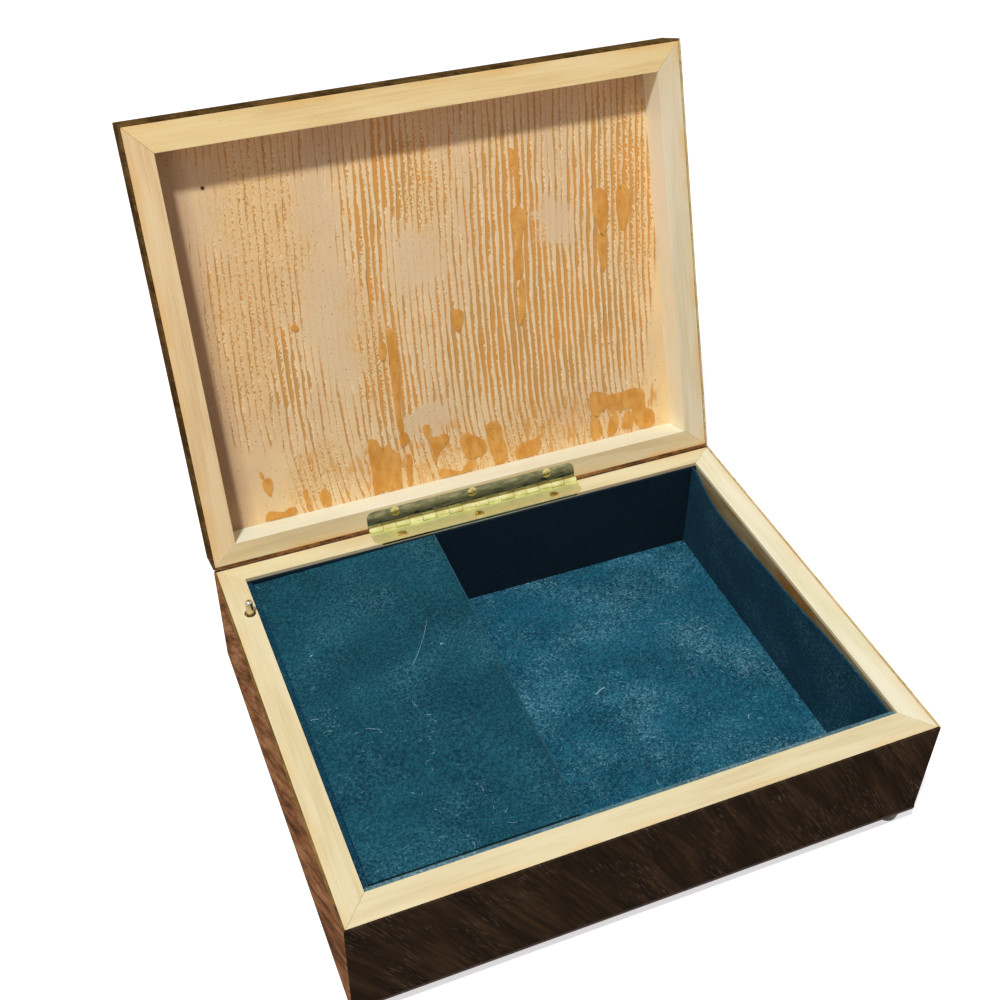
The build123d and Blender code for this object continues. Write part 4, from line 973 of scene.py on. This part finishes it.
@dataclass
class Linings(SubAssembly):
    """The flocked cards in the well and on the platform.

    Attributes:
        card_top: Height of the loose card's top edge, in mm.
        card_foot: Height of its foot, in mm.
        wall_x: Face of the right wall, in mm.
        card: Thickness of the loose card, in mm.
        bow: (y, gap) points of the loose card's top edge from the wall, in mm.
        dip: How far the platform sinks at its back left corner, in mm.
        platform_at: The platform's front left corner, in mm.
        platform_size: Its width and depth, in mm.
        platform_area: Lowest and highest x and y of the lint on it, in mm.
        floor_area: The same for the floor.
        platform_strands: Hairs on the platform: x, y, length, turn in degrees, radius, in mm.
        floor_strands: Hairs on the floor, as above.
    """

    card_top: float = 52.0
    card_foot: float = 10.2
    wall_x: float = 97.6
    card: float = 0.8
    bow: tuple = (
        (-106.56, 0.4), (-80.76, 0.5), (-54.76, 2.2), (-28.76, 3.4), (5.24, 4.7), (21.24, 3.0),
        (37.64, 0.4),
    )
    dip: float = 1.7
    platform_at: tuple[float, float] = (-95.3, -106.6)
    platform_size: tuple[float, float] = (73.8, 144)
    platform_area: tuple[float, float, float, float] = (-94, -24, -105, 36)
    floor_area: tuple[float, float, float, float] = (-19, 90, -105, 36)
    platform_strands: tuple = (
        (-46.3, -15.9, 23.4, -123.0, 0.05), (-38.9, -19.4, 1.1, 20.0, 0.25),
        (-84.9, -6.9, 1.1, 10.0, 0.25), (-57.5, -42.6, 3.5, -73.0, 0.07),
        (-54.3, -52.6, 2.6, -42.0, 0.08), (-74.9, -48.1, 5.1, -26.0, 0.08),
    )
    floor_strands: tuple = (
        (23.5, -28.9, 5.3, 23.0, 0.3), (65.2, -5.2, 5.3, -9.0, 0.12), (76.9, -13.5, 2.5, 6.0, 0.2),
        (63.2, -30.8, 2.4, -21.0, 0.1), (72.5, -62.0, 2.6, 40.0, 0.14),
        (75.5, -64.5, 2.2, -15.0, 0.14),
    )

    def build(self) -> None:
        """The cards, the loose card and the lint on them."""
        platform = ("#07303D", "#1A5666", "#5FA0B0")
        paler_tones = ("#1C4554", "#2C5E6C", "#4A7885")
        greyed = ("#2C4446", "#39585C", "#6F9AA6")
        well = ("#08384A", "#1E657C", "#7FB8C8")
        # Painted shade: the back lining's near-black tones stand for the shade at the back of the
        # well.
        shade = ("#081822", "#0C2230", "#2A4F5C")
        right = ("#062C3D", "#0C4259", "#5F9DAD")
        cards = {
            "platform_lining": (Flocking("flocking_platform", platform, 0.5), 0.22),
            "floor_lining": (Flocking("flocking_floor", well, 0.95), 0.1),
            "divider_lining": (Flocking("flocking_divider", paler_tones, 0.4), 0.2),
            "front_lining": (Flocking("flocking_front", greyed, 0.5), 0.35),
            "left_lining": (Flocking("flocking_left", right, 0.4), 0.3),
            "back_lining": (Flocking("flocking_back_painted_shade", shade, 0.25), 0.2),
        }
        for node, (finish, edge) in cards.items():
            card = self.remake(node, "pile", finish, "flock", edge, 3)
            if node == "front_lining":
                rubbed = Flocking("flocking_rubbed", ("#3E5F68", "#5C838D", "#A4C6CC"), 0.7)
                self.face(card, rubbed, lambda face: face.normal.z > 0.5)
        loose = self.loose_card()
        self.keep(loose, Flocking("flocking_right", right, 0.6), "flock", "right_lining")
        for node in ("divider_wall", "platform_cleats", "stop_pin_bush"):
            self.dress(node, SawnBoard("sawn_inner_wood"))
        # The card over the board's edge, in near-black flock that is partly painted shade for the gap
        # beside the platform.
        board = Flocking("flocking_board_painted_shade", ("#0A1E26", "#12303C", "#2A4F5C"), 0.3)
        self.dress("platform_board", board)
        self.lint("platform_lint", self.platform_area, 52.55, 70, 7, self.platform_strands)
        self.lint("floor_lint", self.floor_area, 10.25, 110, 11, self.floor_strands)

    def gap(self, y: float) -> float:
        """Gap between the loose card's top edge and the wall at a depth y, in mm."""
        points = ((2 * self.bow[0][0] - self.bow[1][0], self.bow[1][1]),) + self.bow
        points += ((2 * self.bow[-1][0] - self.bow[-2][0], self.bow[-2][1]),)
        for at in range(1, len(points) - 2):
            low, high = points[at], points[at + 1]
            if y <= high[0] or at == len(points) - 3:
                t = min(1.0, max(0.0, (y - low[0]) / (high[0] - low[0])))
                span = high[0] - low[0]
                rise_in = (high[1] - points[at - 1][1]) / (high[0] - points[at - 1][0]) * span
                rise_out = (points[at + 2][1] - low[1]) / (points[at + 2][0] - low[0]) * span
                return curved(low[1], high[1], rise_in, rise_out, t)
        return self.bow[-1][1]

    def loose_card(self) -> Piece:
        """The card that has come away from the right wall.

        Returns:
            The card, bowed along its top and straight at the floor.
        """
        bpy.ops.mesh.primitive_grid_add(x_subdivisions=72, y_subdivisions=10, size=2)
        card = bpy.context.object
        card.name = "right_lining_loose"
        front, back = self.bow[0][0], self.bow[-1][0]
        for vertex in card.data.vertices:
            along = (vertex.co.x + 1) / 2
            rise = (vertex.co.y + 1) / 2
            y = front + (back - front) * along
            gap = 0.1 + (self.gap(y) - 0.1) * rise
            z = self.card_foot + (self.card_top - self.card_foot) * rise
            vertex.co = Vector((self.wall_x - 0.1 - gap - self.card, y, z)) * MM
        hold(card)
        thick = card.modifiers.new("card", "SOLIDIFY")
        thick.thickness = self.card * MM
        thick.offset = -1.0
        bpy.ops.object.modifier_apply(modifier=thick.name)
        bpy.ops.object.mode_set(mode="EDIT")
        bpy.ops.mesh.select_all(action="SELECT")
        bpy.ops.mesh.normals_make_consistent(inside=False)
        soften(card, 0.2, 2, 50)
        return card

    def lint(
        self,
        name: str,
        area: tuple[float, float, float, float],
        height: float,
        count: int,
        seed: int,
        strands: tuple,
    ) -> None:
        """Hairs and dust flecks caught in the pile.

        Args:
            name: The piece's name.
            area: Lowest and highest x and y, in mm.
            height: Height of the pile's top, in mm.
            count: Number of flecks.
            seed: Seed of their places.
            strands: The larger hairs, each at its own place.
        """
        chance = random.Random(seed)
        middle = Vector((area[0] + area[1], area[2] + area[3])) / 2
        half = Vector((area[1] - area[0], area[3] - area[2])) / 2
        knots = []
        for _ in range(count // 12):
            knots.append((chance.uniform(-0.9, 0.9), chance.uniform(-0.9, 0.9)))
        bpy.ops.mesh.primitive_cylinder_add(vertices=3, radius=MM, depth=MM)
        hair = bpy.context.object
        pick(hair)
        bpy.ops.transform.rotate(value=math.radians(90), orient_axis="Y", center_override=(0, 0, 0))
        for cut in (-0.25, 0.0, 0.25):
            bpy.ops.mesh.select_all(action="SELECT")
            bpy.ops.mesh.bisect(plane_co=(cut * MM, 0, 0), plane_no=(1, 0, 0))
        bpy.ops.object.mode_set(mode="OBJECT")
        made = []
        hairs = list(strands)
        for _ in range(count):
            length = chance.choice((0.4, 0.5, 0.6, 0.8, 1.1, 1.6, 2.6))
            knot = chance.choice(knots)
            spread = chance.choice((0.05, 0.15, 0.5))
            x = middle.x + half.x * max(-1, min(1, chance.gauss(knot[0], spread)))
            y = middle.y + half.y * max(-1, min(1, chance.gauss(knot[1], spread)))
            hairs.append((x, y, length, chance.uniform(0, 360), 0.05))
        for x, y, length, turned, radius in hairs:
            copy = copied(hair, Matrix.Identity(4))
            curl = chance.uniform(-0.28, 0.28) * min(length, 3.0)
            for vertex in copy.data.vertices:
                share = vertex.co.x / MM * 2
                vertex.co.x *= length
                vertex.co.y = vertex.co.y * radius + curl * (1 - share * share) * MM
                vertex.co.z *= radius
            turn = Matrix.Rotation(math.radians(turned), 4, "Z")
            dip = 0.0
            if name.startswith("platform"):
                leftward = 1 - (x - self.platform_at[0]) / self.platform_size[0]
                dip = self.dip * leftward * (y - self.platform_at[1]) / self.platform_size[1]
            copy.data.transform(Matrix.Translation(Vector((x, y, height - dip)) * MM) @ turn)
            made.append(copy)
        bpy.data.objects.remove(hair)
        pale = Flocking("caught_lint", ("#8FC0CC", "#BFE2EA", "#F0FAFC"), 0.4)
        self.keep(merged(made, name), pale, "flock")


@dataclass
class LidShell(SubAssembly):
    """The lid's mitred rails, their veneer and its board with the old glue.

    Attributes:
        wood_edge: Rounding of the rails' arrises, in mm.
        board_depth: Depth of the board's inner face into the lid, in mm.
        glue_height: Height of a drop of glue, in mm.
        drops: Outlines of the drops and smears of glue: x and up by turns, in mm.
    """

    body: str = "lid"
    wood_edge: float = 0.25
    board_depth: float = 13.95
    glue_height: float = 0.3
    drops: tuple = (
        (-36.5, 32.5, -33, 32, -32, 29.5, -30.5, 28, -28.5, 29.5, -27.5, 27.5, -25, 24.5, -24.5,
         19.5, -26, 9.2, -31.5, 9.2, -32.5, 10, -36, 9.2, -37.3, 9.4, -37, 17.5, -37, 24),
        (-23, 32, -20.5, 32.5, -19.5, 30, -21, 27, -23, 27, -23.5, 29),
        (-21.5, 22.5, -19.5, 22, -20, 15, -21, 10, -22, 9.3, -22.5, 14),
        (-13, 33, -11, 33.5, -10, 31, -10.5, 28.5, -8, 27.5, -4.5, 28, -2.5, 26, -4.5, 23, -7.5,
         20.5, -9.5, 16.5, -10.5, 17.5, -10.5, 22.5, -11.5, 26.5, -13, 29.5),
        (-81, 26, -79.5, 27, -77.5, 26.5, -77, 23.5, -78, 20.5, -79, 19, -80, 20.5, -81, 23),
        (-81.5, 30, -80.5, 30, -80, 28, -80.5, 27, -81.5, 28),
        (-82.5, 10.5, -81.5, 12.5, -79.5, 13, -75, 11.5, -73, 12.5, -70.5, 12.5, -69.5, 11, -70.5,
         9.4, -75.5, 9.2, -80, 9.2, -82.5, 9.4),
        (-59, 16, -57.5, 17, -55.5, 15.5, -55, 12, -56, 9.6, -57.5, 9.2, -59, 10, -59.5, 13),
        (-66, 18, -64, 18, -64, 15, -63.5, 11, -63, 9.3, -65, 9.3, -65.5, 13),
        (5, 74.5, 6.5, 77.5, 9, 77.5, 10.5, 76, 10, 72.5, 8, 68.5, 7, 68.5, 5.5, 71),
        (1.5, 23, 3.5, 25.5, 5, 26, 11.5, 22, 12.5, 21, 13, 18, 12, 15.5, 7, 14.5, 4.5, 15, 2.5, 18.5),
        (14, 27, 16.5, 28.5, 19, 27.5, 20.5, 24.5, 20.5, 20.5, 21.5, 16, 21.5, 12, 19.5, 9.4, 16.5,
         9.2, 15.5, 12, 14.5, 16, 13.5, 22),
        (-8.5, 13, -6, 13, -2, 11, 1, 10.5, 3, 13, 6.5, 14.5, 7, 10.5, 2.5, 9.2, -4, 9.2, -8.5, 9.6),
        (25, 12.5, 27.5, 15.5, 33.5, 16.5, 36.5, 17.5, 37, 15.5, 36.5, 11.5, 33, 9.6, 26, 9.6),
        (61.5, 30.5, 66.5, 30, 69, 28, 72.5, 28, 78, 28, 81.5, 28.5, 86.5, 26, 86.5, 19, 90, 16.5,
         90.5, 11.5, 88.5, 9.5, 84, 9.5, 81, 13, 80.5, 18, 79, 20, 76, 20, 74.5, 18.5, 73, 20.5,
         70.5, 19.5, 68.5, 22.5, 67, 20.5, 66, 22, 64.5, 19, 61.5, 21.5),
        (61.5, 20.5, 64, 19.5, 65.5, 14, 65, 11, 62.5, 10, 60.5, 9.5, 60, 15),
        (70.5, 18.5, 72.5, 20, 73.5, 17, 73, 13, 71, 10, 68, 10, 68.5, 15),
        (77, 18.5, 79, 19, 80, 15.5, 80, 11.5, 76.5, 11, 74.5, 12.5),
        (39, 114.5, 40.5, 112, 42.5, 111, 42, 108, 41, 105, 39.5, 102.5, 38.5, 96.5, 38.5, 91,
         37.5, 86.5, 35, 84.5, 34.5, 87, 34.5, 92, 36, 97, 36, 102.5, 35, 106.5, 35, 110.5, 36.5,
         112.5),
        (38, 135.5, 40, 135, 41, 132, 40.5, 123, 40, 114.5, 38, 115, 38.5, 123, 38, 129.5),
        (35, 82, 37.5, 85, 38, 80.5, 37, 72.5, 35, 66.5, 33.5, 66.5, 34.5, 75),
        (71, 110.5, 72, 114, 74, 114.5, 77, 113, 77.5, 109.5, 77, 103, 76, 98.5, 74.5, 95.5, 73,
         96, 72, 101, 70.5, 105),
        (71.5, 96, 75, 95.5, 74.5, 88.5, 74, 82, 72, 80.5, 71.5, 86.5),
        (82, 113, 84.5, 114.5, 87, 112.5, 87.5, 108, 86.5, 101.5, 84.5, 96.5, 82.5, 96.5, 82, 103,
         81, 108),
        (-26, 70, -23.5, 70.5, -23, 67.5, -24, 64, -26, 63.5, -26.5, 66.5),
        (-22, 75, -18.5, 74.5, -19, 66.5, -19.5, 57.5, -21, 43.5, -21, 33.5, -23, 32, -23.5, 44,
         -23, 59.5, -22.5, 67.5),
        (-59, 84.5, -57, 85, -56, 83.5, -56, 82.5, -57.5, 82, -59, 83),
    )

    def build(self) -> None:
        """Rails, veneers, board and glue."""
        wide = (Run.LID_WIDE.value, (107.0, 83.5))
        high = (Run.LID_HIGH.value, (83.5, 107.0))
        dark = ("#17100A", "#21170E", "#2E2213")
        rails = {
            "front": (wide, ("#E0C588", "#ECD496", "#F1DEA8"), ("#3F2F17", "#5E4925", "#715830")),
            "back": (wide, ("#CFBA86", "#DAC897", "#E2D4AA"), ("#5E3B1A", "#84562A", "#A8743A")),
            "left": (high, ("#D9BA86", "#E6CC98", "#ECD8A8"), ("#3F2E14", "#5D4725", "#705834")),
            "right": (high, ("#D8CA9E", "#E2D6B0", "#E9E0C0"), dark),
        }
        for side, (grain, planed, tones) in rails.items():
            wood = PlanedMaple(f"planed_maple_lid_{side}", *grain, planed, 0.75, 200.0)
            rail = self.remake(f"lid_{side}_rail", "planed", wood, "rim_wood", self.wood_edge)
            stain = StainedVeneer(f"stained_veneer_lid_{side}", Run.LID_SLANT.value, tones, "#38291A")
            edge = 0.08 if side == "back" else 0.3
            veneer = self.remake(f"lid_{side}_veneer", "rubbed", stain, "dark_veneer", edge)
            if side == "right":
                pale = StainedVeneer("sanded_edge_right", tones=SANDED)
                self.face(veneer, pale, lambda face: face.normal.dot(LID_BACK) < -0.5)
                # Painted light: the right rail's inner wall gets paler maple for light from the left
                # that the lamp does not give it.
                paler_tones = ("#F4EBC8", "#FBF3D6", "#FFFAE6")
                paler_maple = PlanedMaple("planed_maple_lid_inside_painted_light", *grain, paler_tones, 0.0, 200.0)
                self.face(rail, paler_maple, lambda face: face.normal.x < -0.9)
            if side == "back":
                paler_tones = ("#E0E2C6", "#E9EDD4", "#F2F5E2")
                paler_maple = PlanedMaple("planed_maple_lid_ledge", *grain, paler_tones, 0.0, 200.0)
                self.face(rail, paler_maple, lambda face: face.normal.z > 0.7)
        self.board()
        self.glue()

    def board(self) -> None:
        """The lid's board: old glue on its inner face, stained veneer over the rest."""
        board = twin("lid_top_panel", "lid_board_glued")
        soften(board, 0.2, angle=50)
        glued = CombedGlue("combed_hide_glue")
        self.keep(board, glued, "lid_board", "lid_top_panel")
        stain = StainedVeneer("stained_veneer_top", Run.LID_WIDE.value, STAIN, shine=0.06)
        self.face(board, stain, lambda face: face.normal.dot(LID_BACK) > -0.9)

    def glue(self) -> None:
        """Every drop and smear of glue, each a low rounded pad on the board's inner face."""
        chance = random.Random(23)
        made = []
        for outline in self.drops:
            corners = tuple(zip(outline[::2], outline[1::2]))
            line = smooth_outline(corners, 4, 0.12, chance)
            bpy.ops.mesh.primitive_circle_add(vertices=len(line), fill_type="NGON")
            drop = bpy.context.object
            for vertex, spot in zip(drop.data.vertices, line):
                vertex.co = lid_point(spot.x, spot.y, self.board_depth - 0.02)
            pick(drop)
            rise = -LID_BACK * self.glue_height * MM
            bpy.ops.mesh.extrude_region_move(TRANSFORM_OT_translate={"value": tuple(rise)})
            bpy.ops.mesh.select_all(action="SELECT")
            bpy.ops.mesh.normals_make_consistent(inside=False)
            bpy.ops.object.mode_set(mode="OBJECT")
            soften(drop, 0.18, 2, 60)
            made.append(drop)
        self.keep(merged(made, "dried_glue"), DriedGlue("dried_hide_glue"), "lid_board")


@dataclass
class Hinge(SubAssembly):
    """The brass hinge: two leaves with knuckles, the wire through them and six screws.

    Attributes:
        spacing: Distance between the screws, in mm.
        head: Radius of a screw's head, in mm.
        dome: Height of its dome, in mm.
        slot_width: Width of the cross in it, in mm.
        body_row: Distance of the case's screws from the hinge line, in mm.
        lid_row: Distance of the lid's screws from the hinge line, in mm.
        lid_sink: Depth of the lid's leaf under the hinge line, in mm.
    """

    spacing: float = 33.1
    head: float = 1.95
    dome: float = 0.35
    slot_width: float = 0.5
    body_row: float = 5.7
    lid_row: float = 5.6
    lid_sink: float = 0.65

    def build(self) -> None:
        """Leaves, wire and screws."""
        brass = WorkedMetal("polished_brass", "#EFE8A8", "#D6CC84", (0.08, 0.22))
        plate = WorkedMetal("pale_brass", "#F3FAD2", "#DDE2A8", (0.3, 0.45))
        shaded = WorkedMetal("shaded_brass", "#A3A076", "#7F7D5A", (0.04, 0.12))
        for node, body in (("body_hinge_leaf", "case"), ("lid_hinge_leaf", "lid")):
            self.body = body
            leaf = self.remake(node, "rolled", brass, "hinge_brass", 0.1, 2, 40)
            if body == "lid":
                self.face(leaf, shaded, lambda face: face.normal.dot(LID_BACK) < -0.99)
            else:
                self.face(leaf, plate, lambda face: face.normal.z > 0.99)
        self.dress("hinge_pin", WorkedMetal("brassed_wire", "#D8BE5A", "#8F7A38", (0.2, 0.35)))
        head = self.cross_head()
        lid_turn = Matrix((Vector((1, 0, 0)), LID_UP, -LID_BACK)).transposed().to_4x4()
        for node, body in (("body_hinge_screws", "case"), ("lid_hinge_screws", "lid")):
            self.body = body
            made = []
            for at in (-1, 0, 1):
                x = at * self.spacing
                twist = Matrix.Rotation(0.5 + at * 0.7, 4, "Z")
                if body == "case":
                    spot = Vector((x, HINGE_POINT.y - self.body_row, RIM)) * MM
                    place = Matrix.Translation(spot) @ twist
                else:
                    spot = lid_point(x, self.lid_row, self.lid_sink)
                    place = Matrix.Translation(spot) @ lid_turn @ twist
                made.append(copied(head, place))
            screws = WorkedMetal("cross_head_brass", "#DCCB82", "#A08E4C", (0.16, 0.34))
            self.keep(merged(made, f"{node}_crossed"), screws, "hinge_brass", node)
        bpy.data.objects.remove(head)

    def cross_head(self) -> Piece:
        """A domed screw head with a cross recess.

        Returns:
            The head, with the rim of its dome at the origin's height.
        """
        bpy.ops.mesh.primitive_cylinder_add(
            vertices=40,
            radius=self.head * MM,
            depth=1.2 * MM,
            location=(0, 0, -0.55 * MM),
        )
        head = bpy.context.object
        settle(head)
        for thickness, rise in ((0.45, 0.45), (0.5, 0.3), (0.5, 0.15)):
            pick(head, lambda face: face.normal.z > 0.99)
            bpy.ops.mesh.inset(thickness=thickness * MM, depth=0)
            bpy.ops.transform.translate(value=(0, 0, rise * self.dome * MM))
        bpy.ops.object.mode_set(mode="OBJECT")
        for turn in (0, 90):
            bpy.ops.mesh.primitive_cube_add(size=1)
            blade = bpy.context.object
            blade.scale = Vector((2.3, self.slot_width, 1.1)) * MM
            blade.rotation_euler.z = math.radians(turn)
            blade.location.z = 0.45 * MM
            settle(blade)
            pick(blade, lambda face: face.normal.z < -0.9)
            bpy.ops.transform.resize(value=(0.55, 0.55, 1.0))
            hold(head)
            cut = head.modifiers.new("cross", "BOOLEAN")
            cut.operation = "DIFFERENCE"
            cut.object = blade
            bpy.ops.object.modifier_apply(modifier=cut.name)
            bpy.data.objects.remove(blade)
        bpy.ops.object.shade_smooth_by_angle(angle=math.radians(30))
        return head


@dataclass
class StopPin(SubAssembly):
    """The pin in the left rim that the lid presses down.

    Attributes:
        radius: Radius of the pin, in mm.
        place: Middle of the pin, in mm.
        low: Height of its foot, in mm.
        high: Height of its domed top, in mm.
        neck: Height of the narrow neck's middle and of its upper end, in mm.
    """

    body: str = "stop_pin_body"
    radius: float = 1.5
    place: tuple[float, float] = (-100.4, 20.242)
    low: float = 35.16
    high: float = 60.0
    neck: tuple[float, float] = (56.4, 57.0)

    def build(self) -> None:
        """A turned rod with a domed top and a shallow neck under it."""
        bpy.ops.mesh.primitive_cylinder_add(
            vertices=48,
            radius=self.radius * MM,
            depth=(self.high - self.low) * MM,
            location=Vector((*self.place, (self.high + self.low) / 2)) * MM,
        )
        pin = bpy.context.object
        pin.name = "stop_pin_turned"
        settle(pin)
        for cut in self.neck:
            pick(pin)
            bpy.ops.mesh.bisect(plane_co=(0, 0, cut * MM), plane_no=(0, 0, 1))
            if cut == self.neck[0]:
                centre = (self.place[0] * MM, self.place[1] * MM, cut * MM)
                bpy.ops.transform.resize(value=(0.9, 0.9, 1.0), center_override=centre)
        bpy.ops.object.mode_set(mode="OBJECT")
        soften(pin, 1.3, 8, 60)
        steel = WorkedMetal("polished_nickel_pin", "#D9D0B4", "#A39A80", (0.1, 0.25))
        self.keep(pin, steel, "pin_steel", "stop_pin")


@dataclass
class Movement(SubAssembly):
    """The music movement under the platform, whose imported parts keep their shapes."""

    def build(self) -> None:
        """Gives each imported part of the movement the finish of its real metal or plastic."""
        brass = WorkedMetal("cut_clock_brass", "#D9BE62", "#A58A3C", (0.18, 0.35))
        steel = WorkedMetal("ground_steel", "#B9BABB", "#86878A", (0.2, 0.38))
        zinc = WorkedMetal("zinc_plated_steel", "#C4C6C4", "#93958F", (0.28, 0.45), 0.02)
        cast = WorkedMetal("die_cast_zinc", "#A9A9A6", "#7F7F7C", (0.4, 0.6), 0.06)
        fan = MouldedPlastic("moulded_fan_plastic", "#E7E2D4", "#F2EEE2", (0.35, 0.5))
        finishes = {
            "movement_brass": brass,
            "movement_steel": steel,
            "zinc_steel": zinc,
            "cast_zinc": cast,
            "fan_plastic": fan,
        }
        for name, part in frame["nodes"].items():
            own = part.material_slots[0].material if part.material_slots else None
            if own is not None and own.name in finishes:
                self.dress(name, finishes[own.name])


@dataclass
class Studio:
    """Pale floor, soft light and the camera at the photograph's angle.

    Attributes:
        camera_at: Place of the camera, in mm.
        lens: Focal length on a 36 mm sensor.
        key: Direction from the box to the lamp.
        key_far: Distance of that lamp, in metres.
        key_size: Width of that lamp, in metres.
        key_power: Power of that lamp, in watts.
        fill: Strength of the even light all round.
    """

    camera_at: Triple = (-153.73, -344.728, 419.94)
    lens: float = 49.18
    key: Triple = (-0.29, -0.27, 0.918)
    key_far: float = 3.0
    key_size: float = 0.27
    key_power: float = 76.0
    fill: float = 0.28

    def build(self) -> None:
        """Floor, lamps, even light and camera."""
        bpy.ops.mesh.primitive_plane_add(size=1.8)
        floor = bpy.context.object
        floor.name = "studio_floor"
        floor.data.materials.append(StudioPaper("studio_paper").material())
        lamp = bpy.data.lights.new("soft_key", "AREA")
        lamp.shape = "DISK"
        lamp.size = self.key_size
        lamp.energy = self.key_power
        key = linked("soft_key", lamp)
        away = Vector(self.key).normalized()
        key.location = Vector(CASE_MIDDLE) * MM + away * self.key_far
        key.rotation_euler = away.to_track_quat("Z", "Y").to_euler()
        self.world()
        self.camera()
        bpy.context.scene.view_settings.view_transform = "Standard"

    def world(self) -> None:
        """Even light from all round, rosy in the shadows, white where it is seen or mirrored."""
        world = bpy.data.worlds.new("studio_air")
        bpy.context.scene.world = world
        world.use_nodes = True
        tree = world.node_tree
        seen = seen_or_mirrored(tree)
        strength = put(tree, "MapRange", {0: seen, 3: self.fill, 4: 1.0})
        tint = put(tree, "Mix", {0: seen, 6: "#FFE2F0", 7: "#FFFFFF"}, "RGBA")
        connect(tree, tree.nodes["Background"], {"Color": tint, "Strength": strength})

    def camera(self) -> None:
        """The camera as it was fitted to the photograph's edges."""
        data = bpy.data.cameras.new("photo_camera")
        data.lens = self.lens
        data.sensor_width = 36.0
        data.clip_start = 0.01
        camera = linked("photo_camera", data)
        right = Vector((0.9261, -0.3770, 0.0136)).normalized()
        ahead = Vector((0.2936, 0.6975, -0.6536)).normalized()
        turn = Matrix((right, right.cross(ahead).normalized(), -ahead)).transposed()
        camera.matrix_world = Matrix.Translation(Vector(self.camera_at) * MM) @ turn.to_4x4()
        bpy.context.scene.camera = camera


def main() -> None:
    """Builds the box's pieces in order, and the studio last."""
    logging.basicConfig(level=logging.INFO, format="%(name)s %(message)s")
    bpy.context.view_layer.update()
    for part in (CaseShell(), Linings(), LidShell(), Hinge(), StopPin(), Movement()):
        part.build()
    Studio().build()


if __name__ == "__main__":
    main()
